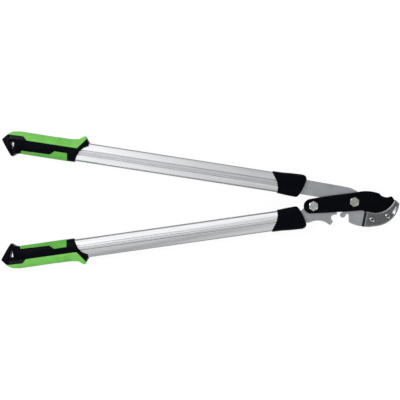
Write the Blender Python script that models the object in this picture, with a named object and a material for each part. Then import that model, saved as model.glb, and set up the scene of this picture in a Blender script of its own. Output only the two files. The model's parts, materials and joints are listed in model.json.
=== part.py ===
"""Geared bypass lopper, lying flat and closed on its two bolt ends and its grips.

Metres, +Z up. The head points along +X, and the upper handle is the one on the +Y side. The
origin is on the main pivot's axis, in the plane that the lopper rests on. Sizes below are in
millimetres and degrees, and the mesh builders turn them into metres.
"""

from math import cos, pi, radians, sin, sqrt, tan

import bmesh
import bpy
from mathutils import Matrix, Vector

MM = 0.001
GAP = 0.3  # between pieces that touch or are fitted together

# Handles: both axes pass this far from the main pivot, at this angle to +X.
HANDLE_ANGLE = 8.46
HANDLE_OFFSET = 14.4
MID_HEIGHT = 16.0  # middle plane of the tubes, the grips and both steel plates

# Along a handle, u runs towards the head from the point nearest to the main pivot, and v runs
# away from the other handle.
TUBE_HEAD_END = -118.0
TUBE_GRIP_END = -622.0
TUBE_HALF_WIDTH = 18.5
TUBE_HALF_HEIGHT = 11.0
TUBE_WALL = 1.8
TUBE_ROUNDNESS = 2.3  # exponent of the oval: 2 is an ellipse
TUBE_STEPS = 22
GROOVE_CENTRES = (-5.7, -1.9, 3.3)
GROOVE_HALF_WIDTH = 0.9
GROOVE_DEPTH = 0.6

# Head, seen from above: the link bolt's place, and the layers from the ground up.
LINK_DISTANCE = 77.4
LINK_BEARING = 186.1
LINK_EYE = (13.0, 80.0, 180.0)  # radius and angles of the gear plate's round end
PLATE_THICKNESS = 6.0
BLADE_THICKNESS = 4.5
PLATE_BOTTOM = MID_HEIGHT - PLATE_THICKNESS / 2
PLATE_TOP = MID_HEIGHT + PLATE_THICKNESS / 2
BLADE_BOTTOM = PLATE_TOP + GAP
BLADE_TOP = BLADE_BOTTOM + BLADE_THICKNESS

# Gearing: the hook plate's round teeth drive the gear plate as the blade opens.
HOOK_GEAR_TEETH = 12  # on a full turn
HANDLE_GEAR_TEETH = 15
OPENING = 42.0  # largest turn of the blade
TOOTH_CENTRE = 32.1
TOOTH_RADIUS = 5.1
TOOTH_BEARINGS = [LINK_BEARING + 14 + 30 * k for k in (-1, 0, 1)]
HOOK_GEAR_ROOT = 25.4
HOOK_GEAR_SPAN = (248, 174)  # bearings of its first and last point
HANDLE_GEAR_TIP = 48.0
HANDLE_GEAR_SPAN = (-54, 6)  # angles above the line of centres
GEAR_CLEARANCE = 0.45

# Fasteners: M10 bolts with a 16 mm hexagon.
BOLT_RADIUS = 5.0
HEX_FLATS = 16.0
HEAD_HEIGHT = 6.4
HEAD_CHAMFER = 1.6
PIVOT_HEAD_TURN = 82.0
LINK_HEAD_TURN = 90.0
WASHER_RADIUS = 10.5
WASHER_THICKNESS = 2.0
NUT_BOTTOM = 1.0
BUSH_RADIUS = 7.5
ROUND_SIDES = 32

# Blade: its arcs as (centre, radius, first angle, last angle), clockwise from the arm's end.
ARM_END = ((-80.8, -8.5), 14.0, 264.0, 98.0)
BLADE_BACK = ((22.8, -49.5), 70.3, 103.0, 69.0)
TIP_HOLLOW = ((63.0, 33.9), 24.6, 238.0, 272.0)
EDGE_CENTRE = (39.6, 19.7)
EDGE_RADIUS = 42.6
EDGE_ANGLES = (-24.0, -110.0)
EDGE_BEVEL = 2.5
ARM_TOP = ((-47.1, 11.6), (-6.9, 16.6))
HEEL = ((20.7, -18.9), (17.9, -16.1), (14.1, -15.4), (-6.7, -17.8))
BLADE_NIB = ((66.8, 10.4), (68.2, 10.9), (71.4, 10.8))

# Hook: a plate jaw that the blade passes, with a hard counter blade let into it.
BYPASS = 6.4  # how far the closed blade laps over the counter blade
JAW_SET_BACK = 1.2  # the plate stays behind the counter blade's edge
JAW_EDGE_START = -130.0
JAW_BOSS = (21.0, 60.0, -20.0)  # radius and angles of the round shoulder under the blade
HOOK_PLATE_TOP = ((-25.9, 30.4), (-7.0, 26.8), (-1.5, 24.6), (6.3, 20.0))
HOOK_PLATE_UNDER = (-70.5, 9.6)
JAW_RIGHT = ((38.3, 2.7), 48.2, -6.0, -84.0)
JAW_BOTTOM = ((27.2, 33.2), 80.2, -87.0, -111.5)
JAW_TIP = (79.2, 4.1)
JAW_LEFT = ((-9.0, -38.0), (-9.0, -25.0))  # the stop that the gear plate nearly meets when open
GROOVE_FOOT = (14.7, -46.2)
GROOVE_HEAD = (20.0, -18.8)
GROOVE_WIDTH = 5.0
COUNTER_THICKNESS = 3.0
COUNTER_RIM = 2.4
COUNTER_RECESS = 0.6
COUNTER_SCREWS = ((35.3, -32.8), (64.6, -26.0))
SCREW_HEAD_RADIUS = 5.0
SCREW_RADIUS = 2.5
CROSS_LENGTH = 5.4
CROSS_WIDTH = 1.2
CROSS_DEPTH = 1.2
CROSS_TURN = 20.0

# Tangs of the two plates, in the ferrules and plugs: (inner v, outer v) of the wide part.
TANG_HALF_WIDTH = 10.0
TANG_END = -195.0
TANG_SHOULDER = -112.0
HOOK_PLATE_WIDTH = (-15.0, 13.6)
GEAR_PLATE_WIDTH = (-11.6, 11.8)
GEAR_PLATE_OUTER_FRONT = (-94.0, 11.8)  # where the gear plate leaves its straight sides
GEAR_PLATE_INNER_FRONT = (-101.5, -11.6)
GEAR_PLATE_SCALLOP = ((-67.2, -68.7), 33.4, 118.0, 62.0)
PLUG_END = -205.0
PIN_PLACES = (-140.0, -175.0)
PIN_RADIUS = 3.0

# Ferrule: stations along the handle as (u, inner v, outer v, half height), and its plan.
FERRULE_STATIONS = (
    (-166.0, -19.9, 19.9, 12.9),
    (-146.0, -20.2, 20.2, 13.1),
    (-116.0, -22.4, 22.2, 14.0),
    (-102.0, -22.9, 22.8, 14.0),
    (-90.0, -22.0, 22.0, 11.0),
)
FERRULE_PLAN = (
    (-160.8, 20.4),
    (-103.5, 22.1),
    (-98.5, 20.6),
    (-95.4, 16.8),
    (-95.0, 13.5),
    (-97.2, 3.0),
    (-100.3, -7.0),
    (-104.6, -17.0),
    (-107.2, -20.9),
    (-110.5, -22.0),
    (-145.6, -20.6),
    (-146.3, -9.5),
    (-149.8, 1.0),
    (-155.5, 10.5),
)

# Grip: stations as on the ferrule, its plan, and the plans of the two soft pads.
GRIP_STATIONS = (
    (-676.0, -13.0, 9.0, 9.5),
    (-668.0, -21.0, 15.0, 13.0),
    (-657.0, -28.5, 18.5, 15.6),
    (-648.0, -30.0, 20.2, 16.0),
    (-638.0, -24.0, 20.9, 15.6),
    (-626.0, -21.3, 20.9, 15.0),
    (-560.0, -21.3, 20.7, 15.0),
    (-542.0, -21.6, 21.4, 15.4),
    (-530.0, -22.0, 25.0, 16.0),
    (-519.0, -22.0, 32.0, 16.0),
    (-506.0, -22.0, 32.0, 15.0),
)
GRIP_PLAN = (
    (-673.6, 0.3, 2.0),
    (-664.2, 11.4, 3.0),
    (-655.0, 18.4, 10.0),
    (-640.0, 21.0, 20.0),
    (-549.0, 20.6, 30.0),
    (-529.0, 23.2, 8.0),
    (-518.8, 31.2, 2.5),
    (-509.2, 19.0, 2.0),
    (-519.9, 7.5, 30.0),
    (-527.0, -3.8, 30.0),
    (-531.6, -21.2, 4.0),
    (-637.0, -21.0, 10.0),
    (-643.5, -22.8, 6.0),
    (-650.6, -29.4, 2.5),
)
PAD_THICKNESS = 1.3
OUTER_PAD_PLAN = (
    (-700.0, 9.8),
    (-664.0, 11.2),
    (-633.3, 12.0),
    (-626.0, 5.0),
    (-530.0, 5.2),
    (-514.6, 26.0),
    (-508.0, 40.0),
    (-700.0, 40.0),
)
INNER_PAD_PLAN = (
    (-634.6, -35.0),
    (-634.4, -21.5),
    (-633.6, -15.3),
    (-579.2, -14.1),
    (-570.8, -6.6),
    (-547.0, -6.7),
    (-546.0, -20.0),
    (-545.6, -35.0),
)
HANG_HOLE = ((-656.5, -2.2, 1.2), (-649.0, -0.8, 1.5), (-649.0, -15.0, 0.8), (-651.0, -15.0, 0.8))
GRIP_ROUNDNESS = 2.9
GRIP_SIDES = 28

COLOURS = {
    "anodised_aluminium": ((0.72, 0.73, 0.74), 0.35, 0.9),
    "black_moulding": ((0.012, 0.012, 0.014), 0.45, 0.0),
    "green_soft_grip": ((0.13, 0.55, 0.05), 0.6, 0.0),
    "plate_steel": ((0.36, 0.37, 0.38), 0.4, 0.9),
    "black_coated_blade": ((0.008, 0.008, 0.01), 0.35, 0.3),
    "counter_blade_steel": ((0.2, 0.21, 0.22), 0.3, 0.95),
    "zinc_plated_steel": ((0.55, 0.56, 0.52), 0.3, 0.95),
    "bronze": ((0.45, 0.3, 0.14), 0.4, 0.9),
    "grey_nylon": ((0.2, 0.2, 0.2), 0.6, 0.0),
}


def make_material(name):
    colour, roughness, metallic = COLOURS[name]
    material = bpy.data.materials.new(name)
    material.use_nodes = True
    shader = material.node_tree.nodes["Principled BSDF"]
    shader.inputs["Base Color"].default_value = (*colour, 1.0)
    shader.inputs["Roughness"].default_value = roughness
    shader.inputs["Metallic"].default_value = metallic
    material.diffuse_color = (*colour, 1.0)
    return material


# Plane geometry


def arc(centre, radius, first, last, steps=12):
    """Points on an arc from one angle to the other, both ends included."""
    angles = [radians(first + (last - first) * i / steps) for i in range(steps + 1)]
    return [(centre[0] + radius * cos(a), centre[1] + radius * sin(a)) for a in angles]


def fillet(before, corner, after, steps=5):
    """The points that round a corner (x, y, radius) between its two neighbours."""
    point, radius = Vector(corner[:2]), corner[2]
    towards = [(Vector(other[:2]) - point) for other in (before, after)]
    reach = min(side.length for side in towards) * 0.48
    towards = [side.normalized() for side in towards]
    half_angle = towards[0].angle(towards[1]) / 2
    cut = min(radius / tan(half_angle), reach)
    starts = [point + side * cut for side in towards]
    curve = []
    for i in range(steps + 1):
        t = i / steps
        # A quadratic curve with its handle on the corner stays close to the true arc.
        curve.append(starts[0] * (1 - t) ** 2 + point * 2 * t * (1 - t) + starts[1] * t**2)
    return [tuple(p) for p in curve]


def rounded(points):
    """An outline whose points may carry a third number, the radius that rounds them."""
    outline = []
    for i, point in enumerate(points):
        if len(point) == 2:
            outline.append(tuple(point))
        else:
            outline += fillet(points[i - 1], point, points[(i + 1) % len(points)])
    return outline


def counter_clockwise(outline):
    area = sum(a[0] * b[1] - b[0] * a[1] for a, b in zip(outline, outline[1:] + outline[:1]))
    return list(outline) if area > 0 else list(reversed(outline))


def grown(outline, distance):
    """The outline moved outwards by a distance, or inwards if it is negative."""
    outline = counter_clockwise(outline)
    moved = []
    for i, point in enumerate(outline):
        before = Vector(point) - Vector(outline[i - 1])
        after = Vector(outline[(i + 1) % len(outline)]) - Vector(point)
        normals = [Vector((d.y, -d.x)).normalized() for d in (before, after)]
        middle = (normals[0] + normals[1]).normalized()
        moved.append(tuple(Vector(point) + middle * distance / max(middle.dot(normals[0]), 0.4)))
    return moved


def softened(points, passes):
    """The points of an open line drawn in towards their neighbours, which rounds its corners."""
    for _ in range(passes):
        inner = [
            ((a[0] + 2 * b[0] + c[0]) / 4, (a[1] + 2 * b[1] + c[1]) / 4)
            for a, b, c in zip(points, points[1:], points[2:])
        ]
        points = [points[0], *inner, points[-1]]
    return points


def polar(centre, radius, bearing):
    return (centre[0] + radius * cos(radians(bearing)), centre[1] + radius * sin(radians(bearing)))


def oval_height(v, half_width, half_height, roundness):
    return half_height * (1 - min(abs(v / half_width), 1.0) ** roundness) ** (1 / roundness)


def superellipse(low, high, half_height, sides):
    """A ring of (v, z) points round a rounded box section."""
    middle, half_width = (low + high) / 2, (high - low) / 2
    power = 2 / GRIP_ROUNDNESS
    ring = []
    for i in range(sides):
        c, s = cos(2 * pi * i / sides), sin(2 * pi * i / sides)
        v = middle + half_width * (1 if c >= 0 else -1) * abs(c) ** power
        z = half_height * (1 if s >= 0 else -1) * abs(s) ** power
        ring.append((v, z))
    return ring


# Solids


def add_object(name, mesh_builder, material, parent, smooth=False):
    """A new object whose mesh comes from a bmesh in millimetres. With no material it is a cutter."""
    bmesh.ops.recalc_face_normals(mesh_builder, faces=mesh_builder.faces)
    bmesh.ops.scale(mesh_builder, vec=(MM, MM, MM), verts=mesh_builder.verts)
    mesh = bpy.data.meshes.new(name)
    mesh_builder.to_mesh(mesh)
    mesh_builder.free()
    if smooth:
        mesh.shade_smooth()
        mesh.set_sharp_from_angle(angle=radians(35))
    obj = bpy.data.objects.new(name, mesh)
    bpy.context.scene.collection.objects.link(obj)
    obj.parent = parent
    if material:
        mesh.materials.append(material)
    else:
        obj.hide_render = True
        obj.display_type = "WIRE"
    return obj


def skin(rings):
    """A closed bmesh through rings of equal point counts, capped at both ends."""
    builder = bmesh.new()
    loops = [[builder.verts.new(point) for point in ring] for ring in rings]
    for lower, upper in zip(loops, loops[1:]):
        for i in range(len(lower)):
            j = (i + 1) % len(lower)
            builder.faces.new((lower[i], lower[j], upper[j], upper[i]))
    builder.faces.new(list(reversed(loops[0])))
    builder.faces.new(loops[-1])
    return builder


def prism(name, outline, bottom, top, material, parent=None, top_outline=None):
    """An upright solid over an outline, in the parent's frame."""
    rings = [
        [(x, y, bottom) for x, y in outline],
        [(x, y, top) for x, y in top_outline or outline],
    ]
    return add_object(name, skin(rings), material, parent)


def turned(name, profile, centre, material, parent=None, sides=ROUND_SIDES, first_angle=0.0):
    """A solid of round or polygonal rings, from a profile of (radius, z) pairs going up."""
    rings = [
        [(*polar(centre, radius, first_angle + 360 * i / sides), z) for i in range(sides)]
        for radius, z in profile
    ]
    return add_object(name, skin(rings), material, parent, smooth=True)


def combine(body, other, operation="DIFFERENCE"):
    modifier = body.modifiers.new(other.name, "BOOLEAN")
    modifier.operation = operation
    modifier.object = other
    return body


def bore(body, centre, radius, bottom, top, parent=None, sides=ROUND_SIDES):
    profile = ((radius, bottom), (radius, top))
    cutter = turned(f"cut_{body.name}_bore", profile, centre, None, parent, sides)
    return combine(body, cutter)


def empty(name, place, parent=None, turn=0.0):
    obj = bpy.data.objects.new(name, None)
    obj.empty_display_size = 0.03
    obj.location = Vector((*place, 0.0)) * MM
    obj.rotation_euler.z = radians(turn)
    obj.parent = parent
    bpy.context.scene.collection.objects.link(obj)
    return obj


# Handles


class Handle:
    """One handle's frame: pieces are placed by (u, v) along and across it."""

    def __init__(self, name, side, parent, parent_place):
        self.name = name
        self.side = side
        angle = radians(HANDLE_ANGLE)
        self.along = Vector((cos(angle), -side * sin(angle)))
        self.outwards = Vector((sin(angle), side * cos(angle)))
        self.foot = self.outwards * HANDLE_OFFSET
        place = self.foot - Vector(parent_place)
        self.axis = empty(f"{name}_handle_axis", place, parent, -side * HANDLE_ANGLE)

    def local(self, outline):
        return [(u, self.side * v) for u, v in outline]

    def in_head_frame(self, outline):
        return [tuple(self.foot + self.along * u + self.outwards * v) for u, v in outline]

    def loft(self, name, stations, material, inset=0.0):
        """A rounded body through stations, thinner all round by the inset."""
        rings = []
        for u, low, high, half_height in stations:
            ring = superellipse(low + inset, high - inset, half_height - inset, GRIP_SIDES)
            rings.append([(u, self.side * v, MID_HEIGHT + z) for v, z in ring])
        return add_object(name, skin(rings), material, self.axis, smooth=True)

    def plan_cutter(self, name, outline, half_height=25.0):
        low, high = MID_HEIGHT - half_height, MID_HEIGHT + half_height
        return prism(name, self.local(outline), low, high, None, self.axis)

    def along_section(self, name, section, start, end, material):
        """A straight body of one (v, z) section."""
        rings = [[(u, self.side * v, MID_HEIGHT + z) for v, z in section] for u in (start, end)]
        return add_object(name, skin(rings), material, self.axis, smooth=True)


def oval_section(half_width, half_height, grooves=()):
    """The tube's oval, with a shallow V groove along its top and bottom at each place named."""
    places = [half_width * cos(pi * i / TUBE_STEPS) for i in range(TUBE_STEPS + 1)]
    clear = [v for v in places if all(abs(v - g) > GROOVE_HALF_WIDTH + 0.1 for g in grooves)]
    edges = [g + shift for g in grooves for shift in (-GROOVE_HALF_WIDTH, 0.0, GROOVE_HALF_WIDTH)]
    top = []
    for v in sorted(clear + edges, reverse=True):
        depth = GROOVE_DEPTH if v in grooves else 0.0
        top.append((v, oval_height(v, half_width, half_height, TUBE_ROUNDNESS) - depth))
    return top + [(v, -z) for v, z in reversed(top[1:-1])]


def tang_outline(width):
    """The part of a plate that enters the handle, from inside the ferrule to its end."""
    inner, outer = width
    return [
        (TANG_END, -TANG_HALF_WIDTH),
        (TANG_END, TANG_HALF_WIDTH),
        (TANG_SHOULDER - 4, TANG_HALF_WIDTH),
        (TANG_SHOULDER, outer),
        (-80.0, outer),
        (-80.0, inner),
        (TANG_SHOULDER, inner),
        (TANG_SHOULDER - 4, -TANG_HALF_WIDTH),
    ]


def build_tube(handle, materials):
    section = oval_section(TUBE_HALF_WIDTH, TUBE_HALF_HEIGHT, GROOVE_CENTRES)
    name = f"{handle.name}_tube"
    tube = handle.along_section(
        name, section, TUBE_GRIP_END, TUBE_HEAD_END, materials["anodised_aluminium"]
    )
    inside = oval_section(TUBE_HALF_WIDTH - TUBE_WALL, TUBE_HALF_HEIGHT - TUBE_WALL)
    hollow = handle.along_section(
        f"cut_{name}", inside, TUBE_GRIP_END - 5, TUBE_HEAD_END + 5, None
    )
    combine(tube, hollow)


def tube_socket(handle, name, start, end):
    section = oval_section(TUBE_HALF_WIDTH + GAP, TUBE_HALF_HEIGHT + GAP)
    return handle.along_section(name, section, start, end, None)


def build_plug(handle, tang_width, materials):
    name = f"{handle.name}_tube_plug"
    shrink = TUBE_WALL + GAP
    section = oval_section(TUBE_HALF_WIDTH - shrink, TUBE_HALF_HEIGHT - shrink)
    plug = handle.along_section(name, section, PLUG_END, TUBE_HEAD_END, materials["grey_nylon"])
    slot = handle.local(grown(tang_outline(tang_width), GAP))
    low, high = PLATE_BOTTOM - GAP, PLATE_TOP + GAP
    combine(plug, prism(f"cut_{name}_slot", slot, low, high, None, handle.axis))
    reach = TUBE_HALF_HEIGHT - shrink - 1.0
    for number, place in enumerate(PIN_PLACES, 1):
        bore(plug, (place, 0.0), PIN_RADIUS + GAP, 0.0, 2 * MID_HEIGHT, handle.axis, 20)
        turned(
            f"{handle.name}_tang_pin_{number}",
            ((PIN_RADIUS, MID_HEIGHT - reach), (PIN_RADIUS, MID_HEIGHT + reach)),
            (place, 0.0),
            materials["zinc_plated_steel"],
            handle.axis,
            20,
        )


def build_ferrule(handle, tang_width, materials):
    name = f"{handle.name}_ferrule"
    ferrule = handle.loft(name, FERRULE_STATIONS, materials["black_moulding"])
    combine(ferrule, handle.plan_cutter(f"cut_{name}_plan", FERRULE_PLAN), "INTERSECT")
    combine(ferrule, tube_socket(handle, f"cut_{name}_socket", -180.0, TUBE_HEAD_END + GAP))
    slot = handle.local(grown(tang_outline(tang_width), GAP))
    low, high = PLATE_BOTTOM - GAP, PLATE_TOP + GAP
    combine(ferrule, prism(f"cut_{name}_slot", slot, low, high, None, handle.axis))


def build_grip(handle, materials):
    """The grip's moulded core, and the two soft pads let into its sides."""
    plan = rounded(GRIP_PLAN)
    name = f"{handle.name}_grip_core"
    core = handle.loft(name, GRIP_STATIONS, materials["black_moulding"])
    combine(core, handle.plan_cutter(f"cut_{name}_plan", plan), "INTERSECT")
    for pad_name, pad_plan in (("outer", OUTER_PAD_PLAN), ("inner", INNER_PAD_PLAN)):
        pocket = grown(pad_plan, GAP)
        combine(core, handle.plan_cutter(f"cut_{name}_{pad_name}", pocket))
    depth = PAD_THICKNESS
    inside = handle.loft(f"join_{name}", GRIP_STATIONS, None, depth)
    combine(
        inside, handle.plan_cutter(f"cut_join_{name}", grown(plan, -depth)), "INTERSECT"
    )
    combine(core, inside, "UNION")
    combine(core, tube_socket(handle, f"cut_{name}_socket", TUBE_GRIP_END - GAP, -480.0))
    hole = rounded(HANG_HOLE)
    combine(core, handle.plan_cutter(f"cut_{name}_hang_hole", hole))

    for pad_name, pad_plan in (("outer", OUTER_PAD_PLAN), ("inner", INNER_PAD_PLAN)):
        name = f"{handle.name}_grip_{pad_name}_pad"
        pad = handle.loft(name, GRIP_STATIONS, materials["green_soft_grip"])
        combine(pad, handle.plan_cutter(f"cut_{name}_plan", plan), "INTERSECT")
        combine(pad, handle.plan_cutter(f"cut_{name}_zone", pad_plan), "INTERSECT")
        backing = handle.loft(f"cut_{name}_backing", GRIP_STATIONS, None, depth - GAP)
        edge = handle.plan_cutter(f"cut_{name}_backing_plan", grown(plan, GAP - depth))
        combine(backing, edge, "INTERSECT")
        combine(pad, backing)


def build_handle(handle, tang_width, materials):
    build_tube(handle, materials)
    build_plug(handle, tang_width, materials)
    build_ferrule(handle, tang_width, materials)
    build_grip(handle, materials)


# Head


def hook_gear_radius(bearing):
    """How far the hook plate reaches from the main pivot: its root, or a round tooth."""
    reach = HOOK_GEAR_ROOT
    for tooth in TOOTH_BEARINGS:
        aside = TOOTH_CENTRE * sin(radians(bearing - tooth))
        if abs(bearing - tooth) < 90 and abs(aside) < TOOTH_RADIUS:
            ahead = TOOTH_CENTRE * cos(radians(bearing - tooth))
            reach = max(reach, ahead + sqrt(TOOTH_RADIUS**2 - aside**2))
    return reach


def handle_gear_radius(turn, steps=90):
    """How far the gear plate may reach from the link bolt, at an angle above the line of centres.

    The teeth of the hook plate sweep past as the blade opens, and whatever they sweep is cut away.
    """
    reach = HANDLE_GEAR_TIP
    cutter = TOOTH_RADIUS + GEAR_CLEARANCE
    ratio = HOOK_GEAR_TEETH / HANDLE_GEAR_TEETH
    for i in range(-2, steps + 3):
        opened = OPENING * i / steps
        for tooth in TOOTH_BEARINGS:
            bearing = radians(tooth - LINK_BEARING - opened)
            x = LINK_DISTANCE - TOOTH_CENTRE * cos(bearing)
            y = -TOOTH_CENTRE * sin(bearing)
            centre = Matrix.Rotation(-radians(ratio * opened), 2) @ Vector((x, y))
            ray = Vector((cos(radians(turn)), sin(radians(turn))))
            aside = abs(ray.cross(centre))
            if aside < cutter:
                reach = min(reach, ray.dot(centre) - sqrt(cutter**2 - aside**2))
    return reach


def hook_outline(upper):
    """The hook plate: tang, plate, boss, jaw and gear teeth, clockwise from the tang's end."""
    tang = upper.in_head_frame(tang_outline(HOOK_PLATE_WIDTH))
    edge_radius = EDGE_RADIUS - BYPASS + JAW_SET_BACK
    first, last = HOOK_GEAR_SPAN
    return (
        tang[:4]
        + list(HOOK_PLATE_TOP)
        + arc((0, 0), *JAW_BOSS, 6)
        + arc(EDGE_CENTRE, edge_radius, JAW_EDGE_START, EDGE_ANGLES[0], 14)
        + [JAW_TIP]
        + arc(*JAW_RIGHT)
        + arc(*JAW_BOTTOM, 6)
        + list(JAW_LEFT)
        + [polar((0, 0), hook_gear_radius(b), b) for b in range(first, last - 1, -2)]
        + [HOOK_PLATE_UNDER]
        + tang[6:]
    )


def beyond_groove(distance):
    """A large region to the right of the groove's left wall, moved right by a distance."""
    foot, head = Vector(GROOVE_FOOT), Vector(GROOVE_HEAD)
    up = (head - foot).normalized()
    right = Vector((up.y, -up.x))
    start = foot - up * 30 + right * distance
    corners = (start, start + up * 95, start + up * 95 + right * 95, start + right * 95)
    return [tuple(corner) for corner in corners]


def build_hook_plate(upper, materials):
    steel = materials["plate_steel"]
    plate = prism("hook_plate", hook_outline(upper), PLATE_BOTTOM, PLATE_TOP, steel)
    floor = PLATE_TOP - COUNTER_THICKNESS - GAP
    rebate = prism("cut_hook_rebate", beyond_groove(0), floor, PLATE_TOP + 5, None)
    combine(plate, rebate)
    bore(plate, (0, 0), BOLT_RADIUS + GAP, 0, 30)
    for place in COUNTER_SCREWS:
        bore(plate, place, SCREW_RADIUS + GAP, 0, 30, sides=20)
    for place in PIN_PLACES:
        centre = upper.in_head_frame([(place, 0.0)])[0]
        bore(plate, centre, PIN_RADIUS + GAP, 0, 30, sides=20)


def counter_outline():
    inner = arc(EDGE_CENTRE, EDGE_RADIUS - BYPASS, JAW_EDGE_START, EDGE_ANGLES[0], 16)
    return inner + [JAW_TIP] + arc(*JAW_RIGHT, 14) + arc(*JAW_BOTTOM, 6)


def build_counter_blade(materials):
    """The insert, cut off along the groove, with a recessed face inside a raised rim."""
    bottom = PLATE_TOP - COUNTER_THICKNESS
    outline = counter_outline()
    steel = materials["counter_blade_steel"]
    blade = prism("counter_blade", outline, bottom, PLATE_TOP, steel)
    region = prism("cut_counter_end", beyond_groove(GROOVE_WIDTH), 0, 40, None)
    combine(blade, region, "INTERSECT")
    face = PLATE_TOP - COUNTER_RECESS
    recess = prism("cut_counter_recess", grown(outline, -COUNTER_RIM), face, 40, None)
    inner_end = beyond_groove(GROOVE_WIDTH + COUNTER_RIM)
    combine(recess, prism("cut_counter_recess_end", inner_end, 0, 50, None), "INTERSECT")
    combine(blade, recess)
    slope = SCREW_HEAD_RADIUS - SCREW_RADIUS
    for number, place in enumerate(COUNTER_SCREWS, 1):
        profile = (
            (SCREW_RADIUS + GAP, 0),
            (SCREW_RADIUS + GAP, face - slope),
            (SCREW_HEAD_RADIUS + GAP, face),
            (SCREW_HEAD_RADIUS + GAP, 40),
        )
        cutter = turned(f"cut_counter_screw_{number}", profile, place, None, sides=24)
        combine(blade, cutter)
        build_counter_screw(number, place, face - GAP, slope, materials)


def build_counter_screw(number, place, top, slope, materials):
    profile = (
        (SCREW_RADIUS, PLATE_BOTTOM + GAP),
        (SCREW_RADIUS, top - slope),
        (SCREW_HEAD_RADIUS, top),
    )
    name = f"counter_blade_screw_{number}"
    screw = turned(name, profile, place, materials["zinc_plated_steel"], sides=24)
    for turn in (CROSS_TURN, CROSS_TURN + 90):
        half = (CROSS_LENGTH / 2, CROSS_WIDTH / 2)
        corners = [(a * half[0], b * half[1]) for a, b in ((-1, -1), (1, -1), (1, 1), (-1, 1))]
        spin = Matrix.Rotation(radians(turn), 2)
        slot = [tuple(Vector(place) + spin @ Vector(corner)) for corner in corners]
        combine(screw, prism(f"cut_{name}_{turn:.0f}", slot, top - CROSS_DEPTH, top + 2, None))


def blade_outline(edge_inset=0.0):
    """The blade and its arm, clockwise from the arm's lower side."""
    edge = arc(EDGE_CENTRE, EDGE_RADIUS - edge_inset, *EDGE_ANGLES, 20)
    return (
        arc(*ARM_END, 14)
        + list(ARM_TOP)
        + arc(*BLADE_BACK, 12)
        + arc(*TIP_HOLLOW, 8)
        + list(BLADE_NIB)
        + edge
        + list(HEEL)
    )


def build_blade(link, axis, materials):
    coat = materials["black_coated_blade"]
    blade = prism(
        "blade", blade_outline(), BLADE_BOTTOM, BLADE_TOP, coat, axis, blade_outline(EDGE_BEVEL)
    )
    bore(blade, (0, 0), BUSH_RADIUS + GAP, 0, 40, axis)
    bore(blade, link, BOLT_RADIUS + GAP, 0, 40, axis)


def build_gear_plate(lower, link, axis, materials):
    """The lower handle's plate, with its gear teeth cut by the hook plate's sweep."""
    centre_line = LINK_BEARING - 180
    first, last = HANDLE_GEAR_SPAN
    angles = range(first, last + 1)
    gear = softened([polar(link, handle_gear_radius(t), centre_line + t) for t in angles], 3)
    tang = lower.in_head_frame(tang_outline(GEAR_PLATE_WIDTH))
    fronts = lower.in_head_frame([GEAR_PLATE_OUTER_FRONT, GEAR_PLATE_INNER_FRONT])
    eye = arc(link, *LINK_EYE, 8)
    outline = tang[:4] + fronts[:1] + arc(*GEAR_PLATE_SCALLOP) + gear + eye + fronts[1:] + tang[6:]
    outline = [(x - link[0], y - link[1]) for x, y in outline]
    steel = materials["plate_steel"]
    plate = prism("gear_plate", outline, PLATE_BOTTOM, PLATE_TOP, steel, axis)
    bore(plate, (0, 0), BUSH_RADIUS + GAP, 0, 40, axis)
    for place in PIN_PLACES:
        x, y = lower.in_head_frame([(place, 0.0)])[0]
        bore(plate, (x - link[0], y - link[1]), PIN_RADIUS + GAP, 0, 40, axis, 20)


def build_bolt_set(name, place, axis, bush_span, head_turn, materials):
    """A bolt from above with its bush, and its washer and nut on the underside."""
    zinc = materials["zinc_plated_steel"]
    head_bottom = BLADE_TOP + GAP
    shank = ((BOLT_RADIUS, 0), (BOLT_RADIUS, head_bottom + 2))
    bolt = turned(f"{name}_bolt", shank, place, zinc, axis)
    corner = HEX_FLATS / 2 / cos(radians(30))
    head = turned(
        f"join_{name}_head",
        ((corner, head_bottom), (corner, head_bottom + HEAD_HEIGHT)),
        place,
        None,
        axis,
        6,
        head_turn,
    )
    chamfer = turned(
        f"cut_{name}_chamfer",
        (
            (corner + 1, head_bottom - 1),
            (corner + 1, head_bottom + HEAD_HEIGHT - HEAD_CHAMFER),
            (HEX_FLATS / 2 - GAP, head_bottom + HEAD_HEIGHT + 0.1),
        ),
        place,
        None,
        axis,
    )
    combine(head, chamfer, "INTERSECT")
    combine(bolt, head, "UNION")

    washer_top = PLATE_BOTTOM - GAP
    washer_bottom = washer_top - WASHER_THICKNESS
    inside = BOLT_RADIUS + GAP
    rings = (
        ("bush", BUSH_RADIUS, bush_span, ROUND_SIDES, materials["bronze"]),
        ("washer", WASHER_RADIUS, (washer_bottom, washer_top), ROUND_SIDES, zinc),
        ("nut", corner, (NUT_BOTTOM, washer_bottom - GAP), 6, zinc),
    )
    for kind, radius, (bottom, top), sides, material in rings:
        profile = ((radius, bottom), (radius, top))
        ring = turned(f"{name}_{kind}", profile, place, material, axis, sides, head_turn)
        bore(ring, place, inside, bottom - 5, top + 5, axis)


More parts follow.
